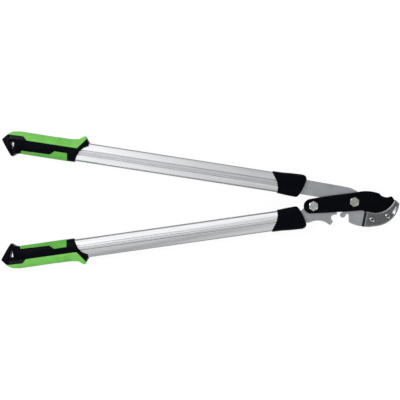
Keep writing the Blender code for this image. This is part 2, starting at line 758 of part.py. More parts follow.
def main():
    for obj in list(bpy.data.objects):
        bpy.data.objects.remove(obj)
    materials = {name: make_material(name) for name in COLOURS}
    link = polar((0, 0), LINK_DISTANCE, LINK_BEARING)
    root = empty("main_pivot", (0, 0))
    blade_axis = empty("blade_axis", (0, 0))
    link_axis = empty("link_axis", link, blade_axis)

    upper = Handle("upper", 1, root, (0, 0))
    lower = Handle("lower", -1, link_axis, link)
    build_handle(upper, HOOK_PLATE_WIDTH, materials)
    build_handle(lower, GEAR_PLATE_WIDTH, materials)

    build_hook_plate(upper, materials)
    build_counter_blade(materials)
    in_blade = (BLADE_BOTTOM, BLADE_TOP)
    in_gear_plate = (PLATE_BOTTOM, PLATE_TOP)
    build_bolt_set("pivot", (0, 0), root, in_blade, PIVOT_HEAD_TURN, materials)
    build_blade(link, blade_axis, materials)
    build_bolt_set("link", link, blade_axis, in_gear_plate, LINK_HEAD_TURN, materials)
    build_gear_plate(lower, link, link_axis, materials)


main()
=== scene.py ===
# %% [markdown]
# A geared bypass lopper lies closed on a pale table, and the camera looks straight down on it.
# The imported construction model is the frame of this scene. It already says where each piece
# sits and how it moves, so the first step is to load it, before anything is dressed.

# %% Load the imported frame
import json
from bisect import bisect
from math import atan2, ceil, cos, degrees, pi, radians, sin, tan

import bmesh
import bpy
from mathutils import Matrix, Vector


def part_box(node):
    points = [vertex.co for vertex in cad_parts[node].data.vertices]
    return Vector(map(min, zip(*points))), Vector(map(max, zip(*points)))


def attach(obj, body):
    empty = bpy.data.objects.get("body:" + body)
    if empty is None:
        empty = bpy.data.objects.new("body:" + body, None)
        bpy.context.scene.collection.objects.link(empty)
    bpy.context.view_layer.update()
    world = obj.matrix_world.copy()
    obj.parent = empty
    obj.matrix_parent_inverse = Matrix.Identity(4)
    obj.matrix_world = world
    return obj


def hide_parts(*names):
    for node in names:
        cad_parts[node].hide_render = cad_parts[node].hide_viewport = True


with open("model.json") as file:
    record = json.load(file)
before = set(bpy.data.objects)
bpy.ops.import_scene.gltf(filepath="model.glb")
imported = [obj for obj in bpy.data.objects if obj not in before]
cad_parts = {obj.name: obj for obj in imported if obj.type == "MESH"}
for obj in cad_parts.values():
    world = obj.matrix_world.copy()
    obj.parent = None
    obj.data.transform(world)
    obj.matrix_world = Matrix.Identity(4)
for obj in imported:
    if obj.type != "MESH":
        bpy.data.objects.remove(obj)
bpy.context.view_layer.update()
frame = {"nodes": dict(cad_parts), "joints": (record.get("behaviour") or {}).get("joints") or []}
nodes = frame["nodes"]
MM = 0.001  # shapes are drawn in millimetres and placed in metres

# %% [markdown]
# The two handles are mirror images about the middle line. Parts of a handle are easiest to draw
# once, along the handle's own axes, and to place twice with a matrix. The frame gives that
# matrix: the two tang pins sit on a handle's axis, so their centres point along it.
# In a handle's own millimetres, u runs towards the head from the point nearest to the main
# pivot, v runs away from the other handle, and z is up from the middle plane.

# %% The axes of the two handles


def middle(node):
    """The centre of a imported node's box."""
    low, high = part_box(node)
    return (low + high) / 2


def handle_axes(name, side):
    """The matrix from a handle's own millimetres to the scene's metres."""
    pivot = Vector(frame["joints"][0]["pos_m"])
    first = middle(f"{name}_tang_pin_1")
    along = (first - middle(f"{name}_tang_pin_2")).normalized()
    outwards = Vector((-along.y, along.x, 0)) * side
    foot = first - along * along.dot(first - pivot)
    columns = (along * MM, outwards * MM, Vector((0, 0, MM)))
    return Matrix.Translation(foot) @ Matrix(columns).transposed().to_4x4()


HANDLES = {"upper": handle_axes("upper", 1), "lower": handle_axes("lower", -1)}
BODY = {"upper": "root", "lower": "lower_handle"}
TURN = {name: atan2(axes[1][0], axes[0][0]) for name, axes in HANDLES.items()}
ROW = Matrix.Scale(MM, 4)  # for parts of the head, drawn in millimetres about the main pivot
print("the handles lie at", [round(degrees(turn), 2) for turn in TURN.values()], "degrees")


def own_extent(node, handle, axis):
    """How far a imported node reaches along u, v or z (0, 1 or 2), in its handle's millimetres."""
    back = HANDLES[handle].inverted()
    reach = [(back @ vertex.co)[axis] for vertex in nodes[node].data.vertices]
    return min(reach), max(reach)


# %% [markdown]
# A few small tools make the solids. A skin joins rings of points into a closed body, and a
# prism is a skin over a flat outline. Helper objects are only needed until a piece is finished,
# so each of them is noted on a list and cleared away afterwards.

# %% Tools for making solids
helpers = []


def in_scene(name, data):
    """An object in the scene that shows a mesh, a lamp or a camera."""
    obj = bpy.data.objects.new(name, data)
    bpy.context.scene.collection.objects.link(obj)
    return obj


def helper(name, mesh):
    """An object that is cleared away as soon as a piece is finished."""
    obj = in_scene(name, mesh)
    helpers.append(obj)
    return obj


def new_object(name, builder):
    """A helper object from a bmesh."""
    mesh = bpy.data.meshes.new(name)
    builder.to_mesh(mesh)
    builder.free()
    return helper(name, mesh)


def clear_helpers():
    while helpers:
        bpy.data.objects.remove(helpers.pop())


def skin(rings, ring_closed=False):
    """A closed body through rings of equal point counts: capped, or joined end to end."""
    builder = bmesh.new()
    loops = [[builder.verts.new(point) for point in ring] for ring in rings]
    pairs = list(zip(loops, loops[1:]))
    if ring_closed:
        pairs.append((loops[-1], loops[0]))
    for lower, upper in pairs:
        for i in range(len(lower)):
            j = (i + 1) % len(lower)
            builder.faces.new((lower[i], lower[j], upper[j], upper[i]))
    if not ring_closed:
        builder.faces.new(list(reversed(loops[0])))
        builder.faces.new(loops[-1])
    bmesh.ops.recalc_face_normals(builder, faces=builder.faces)
    return builder


def prism(name, outline, bottom, top):
    """An upright solid over a flat outline."""
    return new_object(name, skin([[(x, y, z) for x, y in outline] for z in (bottom, top)]))


def cut(body, other, operation="DIFFERENCE"):
    """A Boolean that leaves each solid's own materials on its faces."""
    modifier = body.modifiers.new("cut", "BOOLEAN")
    modifier.operation = operation
    modifier.material_mode = "TRANSFER"
    modifier.object = other


def plain_mesh(obj):
    """The mesh that an object's modifiers make of it."""
    depsgraph = bpy.context.evaluated_depsgraph_get()
    return bpy.data.meshes.new_from_object(obj.evaluated_get(depsgraph))


def placed(mesh, matrix):
    """A copy of a mesh, moved to its place. A mirroring matrix would turn it inside out."""
    copy = mesh.copy()
    copy.transform(matrix)
    if matrix.determinant() < 0:
        copy.flip_normals()
    return copy


# %% [markdown]
# Every finished mesh becomes a piece in the same way. A Weighted Normal modifier keeps the large
# faces flat and lets only the small ones round an edge turn, so a plate doesn't look pillowed.
# Then the piece gets its finish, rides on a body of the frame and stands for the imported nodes
# that it replaces.

# %% Adding a finished piece


def flat_faced(mesh, crease):
    """Smooth shading in which the large faces stay flat, and only the small ones turn."""
    mesh.shade_smooth()
    mesh.set_sharp_from_angle(angle=radians(crease))
    obj = helper("flat_faced", mesh)
    obj.modifiers.new("flat faces", "WEIGHTED_NORMAL").keep_sharp = True
    result = plain_mesh(obj)
    clear_helpers()
    return result


def coat(mesh, *materials):
    """Gives a mesh these materials, in this order."""
    mesh.materials.clear()
    for material in materials:
        mesh.materials.append(material)


def add_piece(name, mesh, body, materials, replaced=(), crease=35):
    """A finished piece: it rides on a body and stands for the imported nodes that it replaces.

    A mesh whose faces are already painted keeps its materials, and gets an empty list.
    """
    if materials:
        coat(mesh, *materials)
    mesh = flat_faced(mesh, crease)
    obj = in_scene(name, mesh)
    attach(obj, body)
    if replaced:
        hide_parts(*replaced)
    print(f"{name}: {len(mesh.polygons)} faces")


def add_head_piece(obj, body, materials, replaced, crease=35):
    """The same for a helper that was drawn in millimetres about the main pivot."""
    name, mesh = obj.name, placed(plain_mesh(obj), ROW)
    clear_helpers()
    add_piece(name, mesh, body, materials, replaced, crease)


# %% [markdown]
# Real surfaces are never one flat colour. Each finish below is a Principled shader whose colour,
# roughness and bump come from noise. The noise reads object coordinates, and every piece's
# object sits at the origin, so a cell of the pattern can be given its real size in millimetres.
# A Mapping node of the Texture kind first turns the pattern to the piece's direction and then
# divides by the cell's size, which is how brushed lines are made to run along a tube.

# %% Tools for making finishes


def add(tree, kind, inputs=None, **settings):
    """A node with its settings. An input takes a plain value or another node's output."""
    node = tree.nodes.new(kind)
    for name, value in settings.items():
        setattr(node, name, value)
    for socket, value in (inputs or {}).items():
        if isinstance(value, bpy.types.NodeSocket):
            tree.links.new(value, node.inputs[socket])
        else:
            node.inputs[socket].default_value = value
    return node


def base_finish(name, colour, roughness, metallic=0.0, specular=0.5):
    material = bpy.data.materials.new(name)
    material.use_nodes = True
    shader = material.node_tree.nodes["Principled BSDF"]
    shader.inputs["Base Color"].default_value = (*colour, 1.0)
    shader.inputs["Roughness"].default_value = roughness
    shader.inputs["Metallic"].default_value = metallic
    shader.inputs["Specular IOR Level"].default_value = specular
    return material, material.node_tree, shader


def noise(tree, cell, turn=0.0, detail=4.0, roughness=0.55):
    """Noise whose cells are this many millimetres along x, y and z, turned about z."""
    place = add(tree, "ShaderNodeTexCoord").outputs["Object"]
    settings = {"Vector": place, "Rotation": (0, 0, turn), "Scale": [side * MM for side in cell]}
    mapping = add(tree, "ShaderNodeMapping", settings, vector_type="TEXTURE")
    settings = {
        "Vector": mapping.outputs["Vector"],
        "Scale": 1.0,
        "Detail": detail,
        "Roughness": roughness,
    }
    return add(tree, "ShaderNodeTexNoise", settings).outputs["Fac"]


def vary_value(tree, socket, pattern, low, high):
    """A shader's number runs from low to high with the pattern."""
    settings = {"Value": pattern, "From Min": 0.3, "From Max": 0.7, "To Min": low, "To Max": high}
    tree.links.new(add(tree, "ShaderNodeMapRange", settings).outputs["Result"], socket)


def vary_colour(tree, pattern, first, second, sharpness=1.0):
    """A colour that runs from one to the other with the pattern."""
    spread = 0.2 / sharpness
    settings = {"Value": pattern, "From Min": 0.5 - spread, "From Max": 0.5 + spread}
    share = add(tree, "ShaderNodeMapRange", settings).outputs["Result"]
    colours = {0: share, 6: (*first, 1.0), 7: (*second, 1.0)}
    return add(tree, "ShaderNodeMix", colours, data_type="RGBA").outputs[2]


def bump(tree, shader, pattern, depth, before=None):
    """Surface relief from a pattern, this many millimetres deep."""
    settings = {"Height": pattern, "Distance": depth * MM, "Strength": 1.0}
    if before:
        settings["Normal"] = before
    normal = add(tree, "ShaderNodeBump", settings).outputs["Normal"]
    tree.links.new(normal, shader.inputs["Normal"])
    return normal


# %% [markdown]
# The tubes are extruded and anodised aluminium. Extrusion leaves fine lines along the tube, so
# the noise is stretched a hundred times along it. A second, cloudy noise changes the roughness a
# little, as handling does. The direction differs between the handles, so each has its own copy.
# The finish also changes across a tube, and here shade and light are painted into its colour:
# the crown with its flutes is painted darker as the flutes' shade, one groove is painted dark at
# its bottom as its shade, and the narrow sides are painted dark grey as the shade they show. The
# lower tube is painted a little darker all over, as shade, and the band between two of its
# grooves gets a painted highlight. The distance from the tube's middle plane, worked out by
# nodes, decides which of these tones a point gets.

# %% Tones of the aluminium tubes
ALUMINIUM = (0.78, 0.79, 0.81)
BRIGHT_TONES = ((0.74, 0.75, 0.77), (0.88, 0.89, 0.91))
CROWN_SHADE_TONES = ((0.6, 0.61, 0.64), (0.84, 0.85, 0.87))
BAND_HIGHLIGHT_TONES = ((0.8, 0.81, 0.83), (0.96, 0.97, 0.98))
GROOVE_SHADE_GREY = (0.57, 0.58, 0.6)
SIDE_SHADE_GREY = (0.27, 0.27, 0.29)
TUBE_SHADE = {"upper": 1.0, "lower": 0.87}  # the lower tube's tones are painted a little darker all over, as shade
CROWN = (-6.4, 4.6)  # v of the fluted band, painted darker as the shade of its flutes
HIGHLIGHT_BAND = (-6.2, -2.9)  # v of the band between two grooves that gets a painted highlight on the lower tube
BAND_FADE = 0.8  # the width of the soft borders of these two bands
GROOVE_LINE = 3.3  # v of the groove whose bottom is painted dark, as shade
GROOVE_FADE = (1.0, 0.7)  # this far from its line the painted shade begins, and here it is full
SIDE_FADE = (15.6, 16.8)  # this far from the tube's middle plane the painted shade of the side begins


def distance_across(tree, name):
    """How far a point lies from the middle plane of a handle outwards, in metres."""
    place = add(tree, "ShaderNodeTexCoord").outputs["Object"]
    settings = {
        "Vector": place,
        "Location": HANDLES[name].translation,
        "Rotation": (0, 0, TURN[name]),
    }
    own = add(tree, "ShaderNodeMapping", settings, vector_type="TEXTURE").outputs["Vector"]
    v = add(tree, "ShaderNodeSeparateXYZ", {0: own}).outputs["Y"]
    outwards = 1 if name == "upper" else -1
    return add(tree, "ShaderNodeMath", {0: v, 1: outwards}, operation="MULTIPLY").outputs[0]


def faded(tree, value, start, end):
    """0 up to the first value and 1 from the second, both in millimetres."""
    settings = {"Value": value, "From Min": start * MM, "From Max": end * MM}
    return add(tree, "ShaderNodeMapRange", settings).outputs["Result"]


def band(tree, value, span):
    """1 between the two values of a span and 0 outside, with soft borders."""
    start = faded(tree, value, span[0] - BAND_FADE, span[0])
    end = faded(tree, value, span[1] + BAND_FADE, span[1])
    return add(tree, "ShaderNodeMath", {0: start, 1: end}, operation="MULTIPLY").outputs[0]


def distance_from(tree, value, place):
    """How far a value lies from a place in millimetres, on either side."""
    shifted = add(tree, "ShaderNodeMath", {0: value, 1: -place * MM}, operation="ADD").outputs[0]
    return add(tree, "ShaderNodeMath", {0: shifted}, operation="ABSOLUTE").outputs[0]


# %% [markdown]
# The tones are laid over each other like coats of paint. Each layer is a share, which says where
# it covers, and a colour. A later layer covers the ones before it.

# %% Finish of the aluminium tubes


def tube_layers(tree, name, lines):
    """The bright aluminium, and the painted shade and highlight tones over it with the share of
    each.
    """

    # the lower tube's tones are darkened here as painted shade
    def shaded(colour):
        return tuple(channel * TUBE_SHADE[name] for channel in colour)

    v = distance_across(tree, name)
    # the crown's darker tones are painted shade of its flutes
    layers = [(band(tree, v, CROWN), vary_colour(tree, lines, *map(shaded, CROWN_SHADE_TONES)))]
    # the lower tube's band between two grooves gets a painted highlight
    if name == "lower":
        layers.append((band(tree, v, HIGHLIGHT_BAND), vary_colour(tree, lines, *BAND_HIGHLIGHT_TONES)))
    # painted shade at the bottom of one groove
    groove_shade = faded(tree, distance_from(tree, v, GROOVE_LINE), *GROOVE_FADE)
    layers.append((groove_shade, (*shaded(GROOVE_SHADE_GREY), 1.0)))
    # painted shade on the narrow sides
    side = faded(tree, distance_from(tree, v, 0.0), *SIDE_FADE)
    layers.append((side, (*SIDE_SHADE_GREY, 1.0)))
    return vary_colour(tree, lines, *map(shaded, BRIGHT_TONES)), layers


def anodised_aluminium(name):
    material, tree, shader = base_finish(f"{name}_anodised_aluminium", ALUMINIUM, 0.3, 1.0)
    lines = noise(tree, (60, 0.35, 0.35), TURN[name], 3.0)
    cloud = noise(tree, (90, 25, 25), TURN[name], 2.0)
    vary_value(tree, shader.inputs["Roughness"], cloud, 0.13, 0.2)
    colour, layers = tube_layers(tree, name, lines)
    for share, other in layers:
        sides = {0: share, 6: colour, 7: other}
        colour = add(tree, "ShaderNodeMix", sides, data_type="RGBA").outputs[2]
    tree.links.new(colour, shader.inputs["Base Color"])
    bump(tree, shader, lines, 0.012)
    return material


aluminium = {name: anodised_aluminium(name) for name in HANDLES}
print("aluminium for the handles", sorted(aluminium))

# %% [markdown]
# The grips and the sleeves at the head are moulded in black plastic. A mould leaves a fine even
# grain, about half a millimetre, and the plastic's sheen is low: a low specular level keeps it
# deep black beside the bright metal, as in the picture.

# %% Finish of the black mouldings


def black_moulding(name, dark, light, roughness, specular, grain):
    material, tree, shader = base_finish(name, dark, roughness, 0.0, specular)
    cloud = noise(tree, (14, 14, 14), 0.0, 3.0)
    vary_value(tree, shader.inputs["Roughness"], cloud, roughness - 0.06, roughness + 0.08)
    tree.links.new(vary_colour(tree, cloud, dark, light), shader.inputs["Base Color"])
    bump(tree, shader, noise(tree, (0.45, 0.45, 0.45), 0.0, 2.0), grain)
    return material


black_plastic = black_moulding(
    "matt_black_moulding", (0.0005, 0.0007, 0.0022), (0.001, 0.0014, 0.004), 0.4, 0.035, 0.03
)
glossy_plastic = black_moulding(
    "glossy_black_moulding", (0.003, 0.002, 0.006), (0.005, 0.003, 0.009), 0.26, 0.16, 0.006
)
print("black mouldings:", black_plastic.name, "and", glossy_plastic.name)

# %% [markdown]
# The soft pads are a green rubber that is moulded over the plastic. Rubber scatters light, so it
# is rough, and its grain is a little coarser. Two noises vary the green: a wide one for uneven
# colour and a fine one for the grain. The inner pads are a little darker.

# %% Finish of the soft green pads


def soft_rubber(name, dark, light):
    material, tree, shader = base_finish(name, light, 0.65, 0.0, 0.3)
    cloud = noise(tree, (18, 18, 18), 0.0, 3.0)
    grain = noise(tree, (0.6, 0.6, 0.6), 0.0, 3.0)
    tree.links.new(vary_colour(tree, cloud, dark, light), shader.inputs["Base Color"])
    vary_value(tree, shader.inputs["Roughness"], grain, 0.55, 0.75)
    bump(tree, shader, grain, 0.05)
    return material


green_rubber = soft_rubber("green_soft_rubber", (0.14, 0.46, 0.07), (0.17, 0.53, 0.09))
inner_rubber = soft_rubber("inner_soft_rubber", (0.08, 0.34, 0.04), (0.11, 0.405, 0.053))
print("soft pads:", green_rubber.name, "and", inner_rubber.name)

# %% [markdown]
# The two plates are rolled steel with a satin finish. Their rounded edges are painted darker
# than their faces, as the shade along an edge, and the bevel that rounds an edge can carry its
# own material, so the painted shade follows the real edge exactly.

# %% Finishes of the steel plates


def satin_steel(name, dark, light, roughness, turn=0.0):
    material, tree, shader = base_finish(name, light, roughness, 1.0)
    lines = noise(tree, (16, 0.25, 0.25), turn, 3.0)
    cloud = noise(tree, (22, 22, 22), 0.0, 3.0)
    tree.links.new(vary_colour(tree, cloud, dark, light), shader.inputs["Base Color"])
    vary_value(tree, shader.inputs["Roughness"], lines, roughness - 0.06, roughness + 0.08)
    bump(tree, shader, lines, 0.008)
    return material


plate_tones = (0.335, 0.35, 0.37), (0.39, 0.405, 0.425)
plate_steel = satin_steel("satin_plate_steel", *plate_tones, 0.4, TURN["upper"])
# the darker steel of the edges is painted shade
plate_edge_shade = satin_steel("plate_steel_cut_edge", (0.13, 0.135, 0.14), (0.19, 0.195, 0.2), 0.35)
# nearly black steel, painted shade in the groove's floor and in the screws' cross recesses
dark_steel = satin_steel("dark_steel", (0.02, 0.021, 0.024), (0.04, 0.041, 0.045), 0.45)
print("plates:", plate_steel.name, "with", plate_edge_shade.name)

# %% [markdown]
# The blade has a black non-stick coating with a faint blue cast. Its cutting edge was ground
# after coating, so bare steel shows there, with grinding lines that run across the edge. Those
# lines follow the edge's curve: the noise reads the angle about the middle of the edge's arc.
# The same angle paints a highlight on the edge towards the tip: the edge is brighter there,
# and less metallic, so it scatters more light.

# %% Finishes of the blade
EDGE_CENTRE = Vector((39.6, 19.7, 0)) * MM
BRIGHT_FROM, BRIGHT_TO = -80.0, -42.0  # angles about that centre where the edge's painted highlight grows
HEEL_TONES = ((0.42, 0.43, 0.44), (0.62, 0.63, 0.64))
TIP_HIGHLIGHT_TONES = ((0.7, 0.72, 0.73), (0.9, 0.92, 0.93))
EDGE_METALLIC = (0.75, 0.2)  # at the heel and at the tip
GRINDING_LINES = 160.0  # cells of the noise for one radian of the edge


def blade_coating(name, dark, light, roughness):
    material, tree, shader = base_finish(name, dark, roughness, 0.0, 0.04)
    cloud = noise(tree, (9, 9, 9), 0.0, 4.0)
    tree.links.new(vary_colour(tree, cloud, dark, light), shader.inputs["Base Color"])
    vary_value(tree, shader.inputs["Roughness"], cloud, roughness, roughness + 0.12)
    bump(tree, shader, noise(tree, (0.3, 0.3, 0.3), 0.0, 2.0), 0.01)
    return material


def ground_steel():
    """Bare steel with grinding lines that point at the centre of the cutting edge's arc, and a
    painted highlight towards the tip.
    """
    material, tree, shader = base_finish("ground_steel", (0.7, 0.71, 0.72), 0.25, 1.0)
    place = add(tree, "ShaderNodeTexCoord").outputs["Object"]
    centred = add(tree, "ShaderNodeVectorMath", {0: place, 1: EDGE_CENTRE}, operation="SUBTRACT")
    split = add(tree, "ShaderNodeSeparateXYZ", {0: centred.outputs[0]})
    sides = {0: split.outputs["Y"], 1: split.outputs["X"]}
    angle = add(tree, "ShaderNodeMath", sides, operation="ARCTAN2").outputs[0]
    settings = {"W": angle, "Scale": GRINDING_LINES, "Detail": 3.0}
    lines = add(tree, "ShaderNodeTexNoise", settings, noise_dimensions="1D").outputs["Fac"]
    # the edge's painted highlight grows towards the tip
    tip_highlight = {"Value": angle, "From Min": radians(BRIGHT_FROM), "From Max": radians(BRIGHT_TO)}
    share = add(tree, "ShaderNodeMapRange", tip_highlight).outputs["Result"]
    sides = {0: share}
    sides[6] = vary_colour(tree, lines, *HEEL_TONES)
    sides[7] = vary_colour(tree, lines, *TIP_HIGHLIGHT_TONES)
    colour = add(tree, "ShaderNodeMix", sides, data_type="RGBA").outputs[2]
    tree.links.new(colour, shader.inputs["Base Color"])
    scattering = {"Value": share, "To Min": EDGE_METALLIC[0], "To Max": EDGE_METALLIC[1]}
    metallic = add(tree, "ShaderNodeMapRange", scattering).outputs["Result"]
    tree.links.new(metallic, shader.inputs["Metallic"])
    vary_value(tree, shader.inputs["Roughness"], lines, 0.18, 0.34)
    bump(tree, shader, lines, 0.01)
    return material


COATING_TONES = (0.0004, 0.0006, 0.0016), (0.001, 0.0014, 0.003)
COATING_EDGE_TONES = (0.004, 0.004, 0.006), (0.008, 0.008, 0.011)
coating = blade_coating("blue_black_coating", *COATING_TONES, 0.34)
coating_edge = blade_coating("blade_coating_edge", *COATING_EDGE_TONES, 0.3)
ground_edge = ground_steel()
print("blade:", coating.name, "with", ground_edge.name)

# %% [markdown]
# The counter blade is hardened and left darker in its recess, with a bright ground rim. The
# bolts, nuts and washers are zinc plated, which has a slight yellow cast, and the bushes are
# sintered bronze, which is dull and speckled with fine pores.

# %% Finishes of the counter blade, the fasteners and the bushes


def speckled_metal(name, dark, light, roughness, cell):
    material, tree, shader = base_finish(name, light, roughness, 1.0)
    speck = noise(tree, (cell, cell, cell), 0.0, 5.0, 0.65)
    tree.links.new(vary_colour(tree, speck, dark, light), shader.inputs["Base Color"])
    vary_value(tree, shader.inputs["Roughness"], speck, roughness - 0.05, roughness + 0.1)
    bump(tree, shader, speck, 0.006 * cell)
    return material


counter_rim = speckled_metal("counter_rim", (0.24, 0.25, 0.255), (0.33, 0.345, 0.35), 0.3, 3.0)
counter_tones = (0.115, 0.122, 0.127), (0.155, 0.163, 0.168)
counter_field = speckled_metal("counter_field", *counter_tones, 0.34, 2.5)
polished = speckled_metal("polished_steel", (0.7, 0.71, 0.72), (0.8, 0.81, 0.82), 0.2, 2.0)
screw_steel = speckled_metal("screw_steel", (0.2, 0.21, 0.22), (0.32, 0.33, 0.34), 0.16, 1.2)
# dark seats for the screws: painted shade
seat_shade_steel = speckled_metal("screw_seat", (0.04, 0.042, 0.045), (0.09, 0.093, 0.098), 0.3, 1.2)
zinc = speckled_metal("bright_zinc", (0.335, 0.352, 0.32), (0.445, 0.465, 0.42), 0.26, 1.4)
# a lighter copy of the zinc for the link bolt: painted light
white_zinc = speckled_metal("white_zinc", (0.44, 0.455, 0.445), (0.565, 0.578, 0.57), 0.26, 1.4)
bronze = speckled_metal("sintered_bronze", (0.34, 0.22, 0.1), (0.52, 0.36, 0.18), 0.42, 0.7)


def dull_nylon():
    material, tree, shader = base_finish("grey_nylon", (0.18, 0.18, 0.18), 0.55, 0.0, 0.4)
    cloud = noise(tree, (6, 6, 6), 0.0, 3.0)
    tree.links.new(
        vary_colour(tree, cloud, (0.16, 0.16, 0.165), (0.22, 0.22, 0.225)),
        shader.inputs["Base Color"],
    )
    bump(tree, shader, noise(tree, (0.5, 0.5, 0.5)), 0.02)
    return material


nylon = dull_nylon()
print("made", len(bpy.data.materials), "materials")

# %% [markdown]
# A Geometry Nodes tree needs the same opening lines each time: a group with a geometry in and a
# geometry out, and named inputs for its sizes. A modifier stores an input under the socket's
# identifier, not under its name, so a small function looks the identifier up. When the shape is
# right, the result is turned into a plain mesh, and the modifier goes away with its helper.

# %% Tools for Geometry Nodes


def new_tree(name, inputs):
    """An empty tree with a geometry in, a geometry out and these named inputs."""
    tree = bpy.data.node_groups.new(name, "GeometryNodeTree")
    tree.interface.new_socket("Geometry", in_out="OUTPUT", socket_type="NodeSocketGeometry")
    tree.interface.new_socket("Geometry", in_out="INPUT", socket_type="NodeSocketGeometry")
    for label, kind in inputs.items():
        tree.interface.new_socket(label, in_out="INPUT", socket_type=f"NodeSocket{kind}")
    return tree, tree.nodes.new("NodeGroupInput"), tree.nodes.new("NodeGroupOutput")


def close_tree(tree, given, result, geometry):
    """The usual ending: instances are made real, and the material is set."""
    real = add(tree, "GeometryNodeRealizeInstances", {0: geometry}).outputs[0]
    parts = {"Geometry": real, "Material": given.outputs["Material"]}
    painted = add(tree, "GeometryNodeSetMaterial", parts).outputs[0]
    tree.links.new(painted, result.inputs[0])


def run_tree(tree, obj, values):
    """The plain mesh that a tree makes from an object."""
    modifier = obj.modifiers.new(tree.name, "NODES")
    modifier.node_group = tree
    for item in tree.interface.items_tree:
        if item.in_out == "INPUT" and item.name in values:
            modifier[item.identifier] = values[item.name]
    return plain_mesh(obj)


# %% [markdown]
# A handle's tube is an oval aluminium extrusion: one section, the same along its whole length.
# That is a rule, so Geometry Nodes can extrude it. The section is a flat ring of faces between
# an outer and an inner oval. On the outer oval, three grooves and a band of fine flutes run
# along the top and the bottom, and a few more flutes along each narrow side give a hold.
# The oval's width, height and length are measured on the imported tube.

# %% Section of the tube
TUBE_WALL = 1.8
TUBE_ROUNDNESS = 2.3  # exponent of the oval: 2 is an ellipse
SECTION_STEPS = 480
GROOVES = (-5.7, -1.9, 3.3)
GROOVE_HALF_WIDTH = 1.0
GROOVE_DEPTH = 0.95
FLUTE_BAND = (-5.7, 3.3)
FLUTE_PITCH = 1.5
FLUTE_DEPTH = 0.16
SIDE_FLUTES = 4.2  # the flutes on the narrow sides reach this far above and below the middle
SIDE_FLUTE_PITCH = 1.4
SIDE_FLUTE_DEPTH = 0.22


def oval(angle, half_width, half_height):
    power = 2 / TUBE_ROUNDNESS
    c, s = cos(angle), sin(angle)
    v = half_width * (1 if c >= 0 else -1) * abs(c) ** power
    return v, half_height * (1 if s >= 0 else -1) * abs(s) ** power


def relief(v, z):
    """How deep the grooves and flutes are at a place on the oval."""
    depth = sum(GROOVE_DEPTH * max(0.0, 1 - abs(v - g) / GROOVE_HALF_WIDTH) for g in GROOVES)
    if FLUTE_BAND[0] < v < FLUTE_BAND[1]:
        depth += FLUTE_DEPTH * (1 - cos(2 * pi * v / FLUTE_PITCH)) / 2
    if abs(z) < SIDE_FLUTES:
        depth += SIDE_FLUTE_DEPTH * (1 - cos(2 * pi * z / SIDE_FLUTE_PITCH)) / 2
    return depth


def tube_section(half_width, half_height, u):
    """A flat ring of faces across the tube."""
    builder = bmesh.new()
    rings = [[], []]
    for i in range(SECTION_STEPS):
        angle = 2 * pi * i / SECTION_STEPS
        v, z = oval(angle, half_width, half_height)
        inwards = Vector((-v / half_width**2, -z / half_height**2)).normalized() * relief(v, z)
        rings[0].append(builder.verts.new((u, v + inwards.x, z + inwards.y)))
        v, z = oval(angle, half_width - TUBE_WALL, half_height - TUBE_WALL)
        rings[1].append(builder.verts.new((u, v, z)))
    outer, inner = rings
    for i in range(SECTION_STEPS):
        j = (i + 1) % SECTION_STEPS
        builder.faces.new((outer[i], inner[i], inner[j], outer[j]))
    return new_object("tube_section", builder)


# %% [markdown]
# Extrude Mesh moves the ring of faces by the tube's length and draws the walls behind it, but it
# leaves the start open. A copy of the ring with its faces flipped closes it, and a weld joins
# the two. The length and the material are the tree's inputs, so both tubes use one tree.

# %% Tree that extrudes a section
TUBE_WELD = 0.001  # millimetres between the points of the ring and of its copy


def extrusion_tree():
    """The named inputs are the length along x and the material."""
    tree, given, result = new_tree("extrusion", {"Length": "Float", "Material": "Material"})
    section = given.outputs["Geometry"]
    offset = add(tree, "ShaderNodeCombineXYZ", {"X": given.outputs["Length"]}).outputs[0]
    settings = {"Mesh": section, "Offset": offset}
    walls = add(tree, "GeometryNodeExtrudeMesh", settings)
    walls.inputs["Individual"].default_value = False
    back = add(tree, "GeometryNodeFlipFaces", {"Mesh": section}).outputs[0]
    both = add(tree, "GeometryNodeJoinGeometry")
    tree.links.new(walls.outputs["Mesh"], both.inputs[0])
    tree.links.new(back, both.inputs[0])
    welded = {"Geometry": both.outputs[0], "Distance": TUBE_WELD}
    close_tree(tree, given, result, add(tree, "GeometryNodeMergeByDistance", welded).outputs[0])
    return tree


extrusion = extrusion_tree()
for name, axes in HANDLES.items():
    u_span, v_span, z_span = (own_extent(f"{name}_tube", name, axis) for axis in range(3))
    section = tube_section(v_span[1], z_span[1], u_span[0])
    values = {"Length": u_span[1] - u_span[0], "Material": aluminium[name]}
    tube = placed(run_tree(extrusion, section, values), axes)
    clear_helpers()
    finish, node = [aluminium[name]], [f"{name}_tube"]
    add_piece(f"{name}_fluted_tube", tube, BODY[name], finish, node)
    print(f"  {u_span[1] - u_span[0]:.0f} mm long, {2 * v_span[1]:.1f} by {2 * z_span[1]:.1f} mm")

# %% [markdown]
# Moulded parts have no sharp edge anywhere. An easy way to such a form is to build it roughly
# from solids with Booleans, remesh it to small even faces, and smooth it a little: every edge
# rounds over by about the size of a face. The rough form is a loft, a stack of rounded box
# sections, cut to the part's plan. The stations of the loft are joined by a smooth curve that
# never overshoots them.

# %% Tools for moulded forms
BOX_ROUNDNESS = 2.9  # exponent of a section: 2 is an ellipse, and more is boxier


def slopes(xs, ys):
    """Slopes at the points of a line: flat where it turns back, and gentle elsewhere."""
    rises = [(d - c) / (b - a) for a, b, c, d in zip(xs, xs[1:], ys, ys[1:])]
    inner = [2 * p * q / (p + q) if p * q > 0 else 0.0 for p, q in zip(rises, rises[1:])]
    return [rises[0], *inner, rises[-1]]


